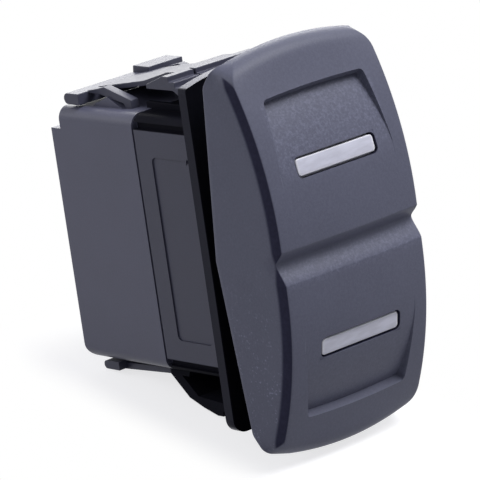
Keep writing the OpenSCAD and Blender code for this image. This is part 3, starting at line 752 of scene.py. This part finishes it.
def linked(name: str, data: bpy.types.ID) -> bpy.types.Object:
    """Makes an object of a mesh, light or camera and links it to the scene."""
    made = bpy.data.objects.new(name, data)
    bpy.context.scene.collection.objects.link(made)
    return made


def applied(made: bpy.types.Object) -> bpy.types.Object:
    """Applies an object's modifiers to its mesh."""
    graph = bpy.context.evaluated_depsgraph_get()
    shaped = made.evaluated_get(graph)
    mesh = bpy.data.meshes.new_from_object(shaped, preserve_all_data_layers=True, depsgraph=graph)
    made.modifiers.clear()
    old = made.data
    made.data = mesh
    bpy.data.meshes.remove(old)
    return made


def carve(made: bpy.types.Object, builder: MeshBuilder) -> None:
    """Takes the shape in a builder out of an object."""
    cutter = builder.to_object("cutter")
    cut = made.modifiers.new("cut", "BOOLEAN")
    cut.operation = "DIFFERENCE"
    cut.solver = "EXACT"
    cut.object = cutter
    applied(made)
    bpy.data.objects.remove(cutter)


def soften(made: bpy.types.Object, radius_mm: float, sharp: float) -> bpy.types.Object:
    """Rounds an object's edges with the small radius that a mould leaves.

    Args:
        made: The object.
        radius_mm: Radius, in millimetres.
        sharp: Edges flatter than this, in degrees, are left alone.

    Returns:
        The same object, with smooth weighted shading.
    """
    edge = made.modifiers.new("edge", "BEVEL")
    edge.width = radius_mm * MM
    edge.segments = 2
    edge.limit_method = "ANGLE"
    edge.angle_limit = math.radians(sharp)
    edge.use_clamp_overlap = True
    applied(made)
    smooth(made.data, 50.0)
    weighted = made.modifiers.new("normals", "WEIGHTED_NORMAL")
    weighted.keep_sharp = True
    return applied(made)


def rounded_bar(width: float, height: float, radius: float, steps: int = 6) -> list[Flat]:
    """Outline of a rectangle with round corners, anticlockwise from its right side."""
    outline = []
    for corner, (sx, sz) in enumerate(((1, 1), (-1, 1), (-1, -1), (1, -1))):
        for step in range(steps + 1):
            angle = math.radians(90 * (corner + step / steps))
            x = sx * (width / 2 - radius) + radius * math.cos(angle)
            outline.append((x, sz * (height / 2 - radius) + radius * math.sin(angle)))
    return outline


class Body(Enum):
    """Moving groups that a piece can ride on."""

    HOUSING = "housing"
    ROCKER = "rocker"


# ---- Rocker cap -----------------------------------------------------------


class Stretch(Enum):
    """Stretches of the way from the face's edge to the inside of the cap."""

    NEAR = "down the shoulder"
    FAR = "down the side"
    RIM = "round the rear rim"
    INSIDE = "up the inside"


@dataclass(frozen=True)
class CapRow:
    """One row of points across the cap.

    The sign is 1 above the middle and -1 below. The spot is the row's straight height and its share
    of the end part, which is 0 on straight rows. The rest are distances in millimetres.
    """

    sign: int
    spot: Flat
    from_end: float
    edge_x: float
    rear: float


@dataclass
class RockerCap:
    """The contoured cap: crowned halves, cross groove, tapered finger scoops and a hollow back."""

    form: FaceForm = FaceForm()
    skirt_front: float = 3.27
    skirt_slope: float = 5.6
    wall: float = 1.5
    face_wall: float = 2.5
    draft: float = 0.12
    shoulder_w: float = 0.38
    shoulder_d: float = 2.2
    shoulder_share: float = 0.45
    plan_fillet: float = 3.2
    rear_fillet: float = 0.9
    front_fillet: float = 1.6
    bevel_len: float = 2.8
    bevel_h: float = 1.6
    rim_r: float = 0.25
    lip_w: float = 0.16
    lip_h: float = 0.09
    inside_share: float = 0.35
    straight_to: float = 22.3
    scoop_half: float = 10.1
    scoop_end_half: float = 8.95
    scoop_start: float = 9.0
    taper_start: float = 12.0
    scoop_foot: float = 21.35
    scoop_top: float = 22.1
    scoop_r: float = 28.5
    scoop_bow: float = 0.4
    scoop_corner: float = 0.6
    side_lean: float = 0.32
    side_drop: float = 1.3
    side_gap: float = 0.8
    slot_y: Flat = (-1.5, 4.0)
    hollow_start: float = 18.3
    hollow_end: float = 26.0
    sharp: float = 38.0

    def fall(self, e: float, radius: float) -> float:
        """Fall of a fillet at a distance from the edge."""
        return 0.0 if e >= radius else radius - math.sqrt(max(radius**2 - (radius - e) ** 2, 0.0))

    def scoop_width(self, z: float) -> float:
        """Half width of a scoop at a height."""
        share = clamp((abs(z) - self.taper_start) / (self.scoop_top - self.taper_start))
        corner = self.fall(max(self.scoop_top - abs(z), 0.0), self.scoop_corner)
        return lerp(self.scoop_half, self.scoop_end_half, share) - corner

    def scoop_depth(self, x: float, z: float) -> float:
        """Depth that a finger scoop takes off the face.

        Args:
            x: Distance across.
            z: Height, of either sign.

        Returns:
            Depth in millimetres, 0 outside the scoops.
        """
        height = abs(z)
        if not self.scoop_start < height < self.scoop_top:
            return 0.0
        slope = (self.scoop_start - self.form.face_flat) / self.form.face_r
        centre_y = self.form.face(self.scoop_start) + self.scoop_r * math.cos(math.asin(slope))
        centre_z = self.scoop_start - self.scoop_r * slope
        floor = centre_y - math.sqrt(self.scoop_r**2 - (min(height, self.scoop_foot) - centre_z) ** 2)
        depth = floor - self.form.face(min(height, self.scoop_foot))
        if height > self.scoop_foot:
            depth *= (self.scoop_top - height) / (self.scoop_top - self.scoop_foot)
        side = (self.scoop_width(z) - abs(x)) / self.side_lean * self.side_drop
        return max(min(depth, side), 0.0)

    def spots(self) -> list[Flat]:
        """Rows from the middle to the end, packed where the groove and the scoops' ends curve."""
        straight = spread(0.0, 3.0, 24) + spread(3.0, 9.0, 12) + spread(9.0, 20.5, 34)
        straight += [20.5, 20.8, 21.05, 21.2, 21.29, 21.35, 21.42, 21.52, 21.66]
        straight += [21.8, 21.9, 21.98, 22.04, 22.1, 22.18]
        shares = [0.0, 0.12, 0.24, 0.36, 0.46, 0.55, 0.63, 0.7, 0.76]
        shares += [0.81, 0.855, 0.89, 0.92, 0.945, 0.965, 0.98, 0.992, 1.0]
        return [(z, 0.0) for z in straight] + [(self.straight_to, share) for share in shares]

    def row_z(self, spot: Flat, x: float) -> float:
        """Height of a row at a distance across, where end rows follow the crowned edge."""
        low, share = spot
        bow = clamp((low - self.scoop_start) / (self.scoop_foot - self.scoop_start)) ** 2
        start = low - self.scoop_bow * bow * (x / self.scoop_half) ** 2
        return start + share * (self.form.half_h - self.form.crown_at(x) - start)

    def columns(self, edge: float, scoop: float) -> list[float]:
        """Half of a row's columns, packed where a scoop's side wall stands.

        Args:
            edge: Distance across of the face's edge.
            scoop: Half width of the scoop in this row.

        Returns:
            Distances from the middle out to the edge.
        """
        wall = [-0.36, -0.28, -0.2, -0.1, -0.03, 0.04, 0.12]
        limit = min(scoop, edge - self.side_gap)
        inner = spread(0.0, limit + wall[0], 16)
        outer = spread(limit + 0.3, edge - self.lip_w, 7)
        return inner + [limit + w for w in wall] + outer + [edge - w for w in (self.lip_w, 0.08, 0.03, 0.0)]

    def plan_x(self, e: float, depth: float, total: float) -> float:
        """Half width at a distance from the end and a depth below the face's edge.

        Args:
            e: Distance from the end.
            depth: Depth below the edge of the face.
            total: Depth of the rear edge there.

        Returns:
            Half width in millimetres.
        """
        share = clamp(depth / total)
        front = self.form.half_w - self.fall(e, self.plan_fillet)
        rear = self.form.half_w - self.fall(e, self.rear_fillet)
        curve = min(self.shoulder_d, self.shoulder_share * total)
        t = clamp(1 - depth / curve)
        return lerp(front, rear, share) - self.draft * (1 - share) - self.shoulder_w * t * t

    def edge_levels(self, e: float, z_edge: float) -> tuple[float, float]:
        """Depths of the face's edge and of the rear edge on one row."""
        top = self.form.face(z_edge) + self.fall(e, self.front_fillet) + self.form.face_crown
        bevel = self.bevel_h * max(1 - e / self.bevel_len, 0.0) + self.fall(e, self.rim_r)
        low = -self.skirt_front - abs(z_edge) * math.tan(math.radians(self.skirt_slope)) - bevel
        return top, low

    def row_at(self, sign: int, spot: Flat) -> CapRow:
        """Measures the row at a spot above or below the middle."""
        low, share = spot
        to_end = self.form.half_h - self.straight_to
        from_end = (1 - share) * to_end if low >= self.straight_to else self.form.half_h
        edge = self.plan_x(from_end, 0.0, self.form.front)
        rear = self.edge_levels(from_end, sign * self.row_z(spot, edge))[1]
        return CapRow(sign, spot, from_end, edge, rear)

    def build(self) -> bpy.types.Object:
        """Builds the whole cap as one closed mesh and cuts the two lens slots.

        Returns:
            The cap.
        """
        builder = MeshBuilder()
        half = self.spots()
        rows = [self.row_at(-1, spot) for spot in reversed(half[1:])]
        rows += [self.row_at(1, spot) for spot in half]
        shrink_x = (self.form.half_w - self.wall) / self.form.half_w
        outer: list[list[int]] = []
        inner: list[list[int]] = []
        for row in rows:
            edge, (low, share) = row.edge_x, row.spot
            z_edge = self.row_z(row.spot, edge)
            right = self.columns(edge, self.scoop_width(low))
            line, back = [], []
            for x in [-x for x in reversed(right[1:])] + right:
                crown = self.form.face_crown * (1 - (x / edge) ** 2)
                lip = self.lip_h * clamp((abs(x) - edge + self.lip_w) / self.lip_w) ** 2
                z = self.row_z(row.spot, x)
                top = self.edge_levels(row.from_end, row.sign * lerp(z, z_edge, share))[0]
                line.append((x, top - crown + lip + self.scoop_depth(x, low), row.sign * z))
                z_in = z * (self.form.half_h - self.wall) / self.form.half_h
                back.append((x * shrink_x, top - crown + self.face_wall, row.sign * z_in))
            outer.append(builder.row(line))
            inner.append(builder.row(back))
        builder.skin(outer)
        builder.skin([list(reversed(r)) for r in inner])
        self._walls(builder, rows, outer, inner)
        cap = builder.to_object("cap_shell", self.sharp)
        self._cut_slots(cap)
        return cap

    def _walls(
        self, builder: MeshBuilder, rows: list[CapRow], outer: list[list[int]], inner: list[list[int]]
    ) -> None:
        """Runs the sides and ends back from the face's edge, round the rear rim and up inside.

        Args:
            builder: The mesh under construction.
            rows: The rows of the face.
            outer: Point numbers of the face.
            inner: Point numbers of the hollow's roof.
        """
        last = len(rows) - 1
        width = len(outer[0])
        loop = [(i, width - 1) for i in range(last + 1)]
        loop += [(last, j) for j in range(width - 2, -1, -1)]
        loop += [(i, 0) for i in range(last - 1, -1, -1)]
        loop += [(0, j) for j in range(1, width - 1)]
        way = {
            Stretch.NEAR: (0.05, 0.14, 0.3, 0.5, 0.75, 1.0, 1.3, 1.6, 1.9, 2.2),
            Stretch.FAR: (0.12, 0.3, 0.5, 0.7, 0.85, 0.95),
            Stretch.RIM: (0.0, 0.5, 1.0),
            Stretch.INSIDE: (1.0, 0.6, 0.25),
        }
        levels: list[list[int]] = [[outer[i][j] for i, j in loop]]
        for stretch, amounts in way.items():
            for amount in amounts:
                starts = [(rows[i], builder.points[outer[i][j]]) for i, j in loop]
                points = [self._wall_point(stretch, amount, row, start) for row, start in starts]
                levels.append(builder.row(points))
        levels.append([inner[i][j] for i, j in loop])
        builder.skin(levels, closed=True)

    def _wall_point(self, stretch: Stretch, amount: float, row: CapRow, start: Point) -> Point:
        """One point on the way from the face's edge to the inside.

        Args:
            stretch: Which stretch of the way it is on.
            amount: How far along that stretch.
            row: The row that it belongs to.
            start: The point of the face's edge that its way starts from.

        Returns:
            The point in millimetres.
        """
        total = row.rear - start[1]
        across = start[0] / row.edge_x
        curve = min(self.shoulder_d, self.shoulder_share * total)
        inset = 0.0
        if stretch is Stretch.NEAR:
            depth = min(amount, curve * amount / self.shoulder_d)
        elif stretch is Stretch.FAR:
            depth = lerp(curve, total - self.rim_r, amount)
        elif stretch is Stretch.RIM:
            angle = math.pi / 2 * amount
            depth = total - self.rim_r + self.rim_r * math.sin(angle)
            inset = self.rim_r * (1 - math.cos(angle))
        else:
            depth = total * lerp(self.inside_share, 1.0, amount)
            inset = self.wall
        half = self.plan_x(row.from_end, depth, total)
        z = self.row_z(row.spot, across * half)
        z -= inset * clamp((z - self.hollow_start) / (self.hollow_end - self.hollow_start))
        return (across * (half - inset), start[1] + depth, row.sign * z)

    def _cut_slots(self, cap: bpy.types.Object) -> None:
        """Cuts both lens slots through the face."""
        form, gap = self.form, self.form.lens_gap
        outline = rounded_bar(form.lens_w + 2 * gap, form.lens_h + 2 * gap, form.lens_r + gap)
        for end in (1, -1):
            cutter = MeshBuilder()
            cutter.between(*(form.on_lens(end, y, outline) for y in self.slot_y))
            carve(cap, cutter)
        smooth(cap.data, self.sharp)


@dataclass
class LensBar:
    """One frosted lens bar, set a little below the face, with its locating lip."""

    form: FaceForm = FaceForm()
    set_in: float = 0.24
    lip: float = 0.6
    lip_front: float = 1.45
    lip_back: float = 2.1
    corner_min: float = 0.12
    sharp: float = 35.0

    def build(self, end: int, name: str) -> bpy.types.Object:
        """Builds a lens bar.

        Args:
            end: 1 for the upper bar, -1 for the lower.
            name: Name of the piece.

        Returns:
            The bar.
        """
        builder = MeshBuilder()
        w, h, r = self.form.lens_w, self.form.lens_h, self.form.lens_r
        profile = [
            (1.0, self.set_in - 0.02),
            (0.6, self.set_in),
            (0.3, self.set_in + 0.01),
            (0.12, self.set_in + 0.03),
            (0.04, self.set_in + 0.07),
            (0.0, self.set_in + 0.14),
            (0.0, self.lip_front),
            (-self.lip, self.lip_front),
            (-self.lip, self.lip_back),
        ]
        loops = []
        for inset, y in profile:
            outline = rounded_bar(w - 2 * inset, h - 2 * inset, max(r - inset * 0.6, self.corner_min))
            loops.append(builder.row(self.form.on_lens(end, y, outline)))
        builder.skin(loops, closed=True)
        builder.faces += [tuple(reversed(loops[0])), tuple(loops[-1])]
        return builder.to_object(name, self.sharp)


# ---- Mouldings kept from the solids, with their real soft edges -------------


@dataclass
class SoftMoulding:
    """A moulded solid whose edges get the small radius that a mould leaves."""

    node: str
    radius_mm: float
    slot: str
    body: Body = Body.HOUSING
    sharp: float = 34.0

    def copy(self) -> bpy.types.Object:
        """Copies the solid, with its flat faces whole again.

        Returns:
            The copy.
        """
        mesh = frame["nodes"][self.node].data.copy()
        mesh.materials.clear()
        weld(mesh, 0.001, flat=0.5)
        smooth(mesh, self.sharp)
        return linked(f"{self.node}_moulding", mesh)

    def build(self) -> bpy.types.Object:
        """Rounds the solid's edges on a mesh of its own.

        Returns:
            The softened moulding.
        """
        return soften(self.copy(), self.radius_mm, self.sharp)


@dataclass
class BracketMoulding(SoftMoulding):
    """The bracket without its upper latch, with crowned flange corners and deep side channels."""

    flange_top: float = 24.65
    flange_half: float = 12.6
    corner_drop: float = 1.35
    corner_power: float = 2.6
    crown_y: Flat = (-2.4, 0.1)
    crown_top: float = 26.5
    latch_x: Flat = (-10.5, 10.5)
    latch_y: Flat = (0.15, 32.0)
    latch_z: Flat = (18.2, 26.0)
    channel_x: Flat = (9.46, 11.36)
    channel_y: Flat = (0.6, 15.6)
    channel_z: Flat = (16.28, 17.28)

    def build(self) -> bpy.types.Object:
        """Trims the copy of the solid and rounds its edges.

        Returns:
            The softened bracket.
        """
        made = self.copy()
        latch = MeshBuilder()
        latch.box(self.latch_x, self.latch_y, self.latch_z)
        carve(made, latch)
        steps = [-1 + i / 12 for i in range(25)]
        half, top = self.flange_half, self.crown_top
        arc = [(half * t, self.flange_top - self.corner_drop * abs(t) ** self.corner_power) for t in steps]
        crown = MeshBuilder()
        crown.between(*([(x, y, z) for x, z in (*arc, (half, top), (-half, top))] for y in self.crown_y))
        carve(made, crown)
        for side in (-1, 1):
            for end in (-1, 1):
                channel = MeshBuilder()
                channel.box(on_side(side, *self.channel_x), self.channel_y, on_side(end, *self.channel_z))
                carve(made, channel)
        return soften(made, self.radius_mm, self.sharp)


@dataclass
class UpperLatch:
    """Stepped snap wing on a lever, its two legs, and the finger bar with its pad."""

    root_z: float = 17.88
    wing_x: float = 8.0
    arm_x: float = 5.3
    crest: Flat = (7.2, 23.38)
    crest_len: float = 1.2
    teeth: int = 5
    tooth_len: float = 1.2
    tooth_h: float = 0.72
    wing_t: float = 1.9
    nose_t: float = 1.5
    tail_y: float = 4.8
    tail_drop: float = 1.35
    slit_x: Flat = (-3.3, -2.96)
    slit_y: Flat = (3.6, 10.6)
    slit_z: Flat = (20.78, 24.38)
    bar_x: float = 9.5
    bar_y: float = 25.2
    bar_d: float = 3.2
    bar_z: float = 18.5
    bar_t: float = 1.6
    pad_h: float = 0.85
    pad_x: Flat = (3.0, 9.3)
    leg_x: Flat = (6.1, 7.5)
    leg_y: float = 16.6
    leg_t: float = 0.9
    rib_x: Flat = (5.5, 6.3)
    rib_y: Flat = (1.0, 14.6)
    rib_h: float = 1.2
    radius_mm: float = 0.1
    sharp: float = 30.0

    @property
    def top(self) -> float:
        """Height of the finger bar's upper side."""
        return self.bar_z + self.bar_t

    def wing_outline(self) -> list[Flat]:
        """Outline of the wing, from its tail over the crest and down the teeth."""
        y, z = self.crest
        outline = [(y + self.tail_y, z - self.tail_drop), (y + self.crest_len, z), (y, z)]
        for step in range(self.teeth):
            outline.append((y - step * self.tooth_len, z - (step + 1) * self.tooth_h))
            outline.append((y - (step + 1) * self.tooth_len, z - (step + 1) * self.tooth_h))
        nose_y, nose_z = outline[-1]
        outline.append((nose_y, nose_z - self.nose_t))
        run = (self.teeth * self.tooth_h + self.nose_t - self.wing_t) * self.tooth_len / self.tooth_h
        outline.append((nose_y + run, z - self.wing_t))
        outline.append((y + self.tail_y, z - self.wing_t - 0.05))
        return outline

    def lever_outline(self) -> list[Flat]:
        """Outline of the lever plate, from under the wing's crest to the finger bar."""
        y, z = self.crest
        end, top = self.bar_y + 0.6, self.top
        upper = [(y + 0.9, z - 0.05), (y + 3.4, z - 0.25), (y + 8.6, z - 1.75), (end, top + 0.05)]
        return upper + [(end, top - 0.65), (y + 8.3, z - 2.45), (y + 3.2, z - 0.95)]

    def bar_outline(self) -> list[Flat]:
        """Outline of the finger bar, with a round rear edge."""
        half = self.bar_t / 2
        rear = self.bar_y + self.bar_d - half
        angles = [math.radians(a) for a in range(-90, 91, 18)]
        nose = [(rear + half * math.cos(a), self.bar_z + half * (1 + math.sin(a))) for a in angles]
        return [(self.bar_y, self.top), (self.bar_y, self.bar_z), *nose]

    def pad_outline(self) -> list[Flat]:
        """Outline of the pad on the finger bar, with a leaning rear side."""
        front, rear = self.bar_y - 0.7, self.bar_y + self.bar_d - 0.5
        low, high = self.top - 0.3, self.top + self.pad_h
        return [(front, low), (front, high), (rear, high), (rear + 0.2, low)]

    def leg_outline(self) -> list[Flat]:
        """Outline of a leg, from the finger bar down to its foot on the bracket."""
        y, t, root, top = self.leg_y, self.leg_t, self.root_z, self.top
        end = self.bar_y + 0.4
        lower = [(end, top - 0.3), (22.9, top - 0.35), (y + t + 0.5, root + 0.9), (y + t, root)]
        upper = [(y - 0.2, root + 1.5), (21.9, top + 0.75), (23.4, top + 0.4), (end, top + 0.02)]
        return [*lower, (y - 0.4, root), *upper]

    def build(self) -> bpy.types.Object:
        """Builds the latch.

        Returns:
            The latch as one piece.
        """
        wing = MeshBuilder()
        wing.prism(-self.wing_x, self.wing_x, self.wing_outline())
        made = wing.to_object("upper_latch")
        slit = MeshBuilder()
        slit.box(self.slit_x, self.slit_y, self.slit_z)
        carve(made, slit)
        parts = MeshBuilder()
        parts.prism(-self.arm_x, self.arm_x, self.lever_outline())
        parts.prism(-self.bar_x, self.bar_x, self.bar_outline())
        parts.prism(*self.pad_x, self.pad_outline())
        for side in (-1, 1):
            parts.prism(*on_side(side, *self.leg_x), self.leg_outline())
            parts.box(on_side(side, *self.rib_x), self.rib_y, (self.root_z, self.root_z + self.rib_h))
        rest = parts.to_object("latch_parts")
        join = bmesh.new()
        join.from_mesh(made.data)
        join.from_mesh(rest.data)
        join.to_mesh(made.data)
        join.free()
        bpy.data.objects.remove(rest)
        return soften(made, self.radius_mm, self.sharp)


# ---- The switch -----------------------------------------------------------


class RockerSwitch:
    """The whole switch: its dressed pieces, and the solids that keep their own shape."""

    def __init__(self, materials: dict[str, bpy.types.Material]) -> None:
        """Keeps the materials by slot."""
        self.materials = materials

    def fit(self, piece: bpy.types.Object, body: Body, slot: str, *nodes: str) -> None:
        """Dresses a piece, hangs it on its body and lets it stand for its solids.

        Args:
            piece: The new piece.
            body: The body that it moves with.
            slot: The record's material slot.
            nodes: Solids that it stands for.
        """
        piece.data.materials.clear()
        piece.data.materials.append(self.materials[slot])
        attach(piece, body.value)
        if nodes:
            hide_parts(*nodes)
        log.info("%s: %d faces on %s", piece.name, len(piece.data.polygons), body.value)

    def dress_solids(self) -> None:
        """Gives every solid of the frame the material of its slot."""
        for part in frame["record"]["subparts"]:
            mesh = frame["nodes"][part["node"]].data
            mesh.materials.clear()
            mesh.materials.append(self.materials[part["material_slot"]])
            smooth(mesh, 35.0)

    def build(self) -> None:
        """Builds and fits every piece."""
        self.dress_solids()
        self.fit(RockerCap().build(), Body.ROCKER, "rocker_plastic", "rocker_cap")
        self.fit(LensBar().build(1, "upper_lens_bar"), Body.ROCKER, "lens_plastic", "upper_lens")
        self.fit(LensBar().build(-1, "lower_lens_bar"), Body.ROCKER, "lens_plastic", "lower_lens")
        self.fit(UpperLatch().build(), Body.HOUSING, "bracket_plastic")
        for moulding in (
            BracketMoulding("bracket", 0.12, "bracket_plastic"),
            SoftMoulding("base", 0.16, "base_plastic"),
        ):
            self.fit(moulding.build(), moulding.body, moulding.slot, moulding.node)


# ---- Stage ----------------------------------------------------------------


@dataclass(frozen=True)
class Lamp:
    """One soft square lamp that faces the switch, in metres and watts."""

    name: str
    toward: Point
    distance: float
    size: float
    power: float

    def hang(self) -> None:
        """Hangs the lamp in the scene."""
        data = bpy.data.lights.new(self.name, "AREA")
        data.shape = "SQUARE"
        data.size = self.size
        data.energy = self.power
        direction = Vector(self.toward).normalized()
        turn = direction.to_track_quat("Z", "Y").to_matrix().to_4x4()
        linked(self.name, data).matrix_world = Matrix.Translation(direction * self.distance) @ turn


@dataclass
class Studio:
    """Floor, lamps, sky and camera. The switch leans back on its cap and its lower wing."""

    lean_deg: float = 13.6
    floor_reach: float = 3.0
    floor_gap: float = 0.0001
    floor_lift: float = 0.74
    open_x: Flat = (12.0, 20.0)
    open_y: Flat = (26.0, 40.0)
    middle_y: float = 7.0
    sky: float = 0.22
    lamps: tuple[Lamp, ...] = (
        Lamp("key", (0.55, -0.55, 1.15), 0.75, 0.45, 7.0),
        Lamp("side_wash", (-0.66, 0.5, 0.55), 0.8, 0.5, 2.1),
        Lamp("rear_sheen", (0.62, 0.74, 0.42), 0.8, 0.42, 2.4),
    )
    azimuth_deg: float = -40.304
    elevation_deg: float = 14.10
    roll_deg: float = -8.115
    distance: float = 0.56393
    aim: Flat = (-0.004158, -0.000835)
    sensor_mm: float = 36.0
    reach: float = 8.6831

    def up(self) -> Vector:
        """Direction that is up for the leaning switch, in the part's frame."""
        lean = math.radians(self.lean_deg)
        return Vector((0.0, -math.sin(lean), math.cos(lean)))

    def touch_height(self) -> float:
        """Height of the lowest point of the switch along that direction."""
        up = self.up()
        solids = [thing for thing in bpy.context.scene.objects if thing.type == "MESH"]
        return min(vertex.co.dot(up) for thing in solids for vertex in thing.data.vertices)

    def floor(self) -> None:
        """Lays the pale floor under the switch."""
        up = self.up()
        side = Vector((self.floor_reach, 0.0, 0.0))
        back = up.cross(side)
        centre = up * (self.touch_height() - self.floor_gap)
        corners = [centre + side * a + back * b for a, b in ((-1, -1), (1, -1), (1, 1), (-1, 1))]
        mesh = bpy.data.meshes.new("floor")
        mesh.from_pydata(corners, [], [(0, 1, 2, 3)])
        mesh.materials.append(self._floor_paint())
        linked("floor", mesh)

    def _floor_paint(self) -> bpy.types.Material:
        """White paper that shows as pure white in the open and keeps the shadow."""
        bench = ShaderBench.material("floor_paper")
        tone = bench.noise(40.0, 2.0)
        paper = bench.principled(
            Base_Color=bench.mix(tone, (0.37, 0.37, 0.38), (0.39, 0.39, 0.4)),
            Roughness=0.9,
            Specular_IOR_Level=0.0,
        )
        glow = {"Color": (0.985, 0.985, 1.0), "Strength": self.floor_lift}
        lift = bench.add("ShaderNodeEmission", {}, glow)
        lifted = bench.add("ShaderNodeAddShader", {}, {0: paper, 1: lift})
        open_white = bench.add("ShaderNodeEmission", {}, {"Color": (1.0, 1.0, 1.0), "Strength": 1.0})
        x, y, _ = bench.axes()
        away = (abs(x).ramp(*self.open_x) + abs(y - self.middle_y).ramp(*self.open_y)).below(1.0)
        shown = bench.either(away, lifted, open_white)
        lit = bench.either(bench.seen(), paper, shown)
        below = bench.add("ShaderNodeNewGeometry", {}, {}, "Backfacing")
        return bench.cover(bench.either(below, lit, bench.add("ShaderNodeBsdfTransparent", {}, {})))

    def paint_sky(self) -> None:
        """Pale surroundings that are white where the camera sees them."""
        bench = ShaderBench(bpy.data.worlds.new("studio"))
        light = bench.add("ShaderNodeBackground", {}, {"Color": (0.92, 0.94, 1.0), "Strength": self.sky})
        shown = bench.add("ShaderNodeBackground", {}, {"Color": (1.0, 1.0, 1.0), "Strength": 1.0})
        bpy.context.scene.world = bench.cover(bench.either(bench.seen(), light, shown))

    def camera(self) -> None:
        """Stands the camera at the viewing angle of the reference."""
        azimuth, elevation = math.radians(self.azimuth_deg), math.radians(self.elevation_deg)
        level = Vector((math.cos(azimuth), math.sin(azimuth), 0.0))
        ahead = Vector((math.sin(azimuth), -math.cos(azimuth), 0.0))
        direction = ahead * math.cos(elevation) + Vector((0.0, 0.0, math.sin(elevation)))
        upright = direction.cross(level)
        roll = math.radians(self.roll_deg)
        right = level * math.cos(roll) + upright * math.sin(roll)
        above = upright * math.cos(roll) - level * math.sin(roll)
        eye = direction * self.distance
        back = (eye - right * self.aim[0] - above * self.aim[1]).normalized()
        side = (right - back * right.dot(back)).normalized()
        turn = Matrix((side, back.cross(side), back)).transposed().to_4x4()
        data = bpy.data.cameras.new("camera")
        data.sensor_width = self.sensor_mm
        data.lens = self.sensor_mm * self.reach
        data.clip_start = 0.01
        data.clip_end = 20.0
        made = linked("camera", data)
        made.matrix_world = Matrix.Translation(eye) @ turn
        bpy.context.scene.camera = made

    def build(self) -> None:
        """Sets up the whole stage."""
        bpy.context.scene.view_settings.view_transform = "Standard"
        self.paint_sky()
        self.floor()
        for lamp in self.lamps:
            lamp.hang()
        self.camera()


def main() -> None:
    """Builds the switch and its stage."""
    logging.basicConfig(level=logging.INFO, format="%(name)s: %(message)s")
    RockerSwitch(finishes()).build()
    Studio().build()


if __name__ == "__main__":
    main()
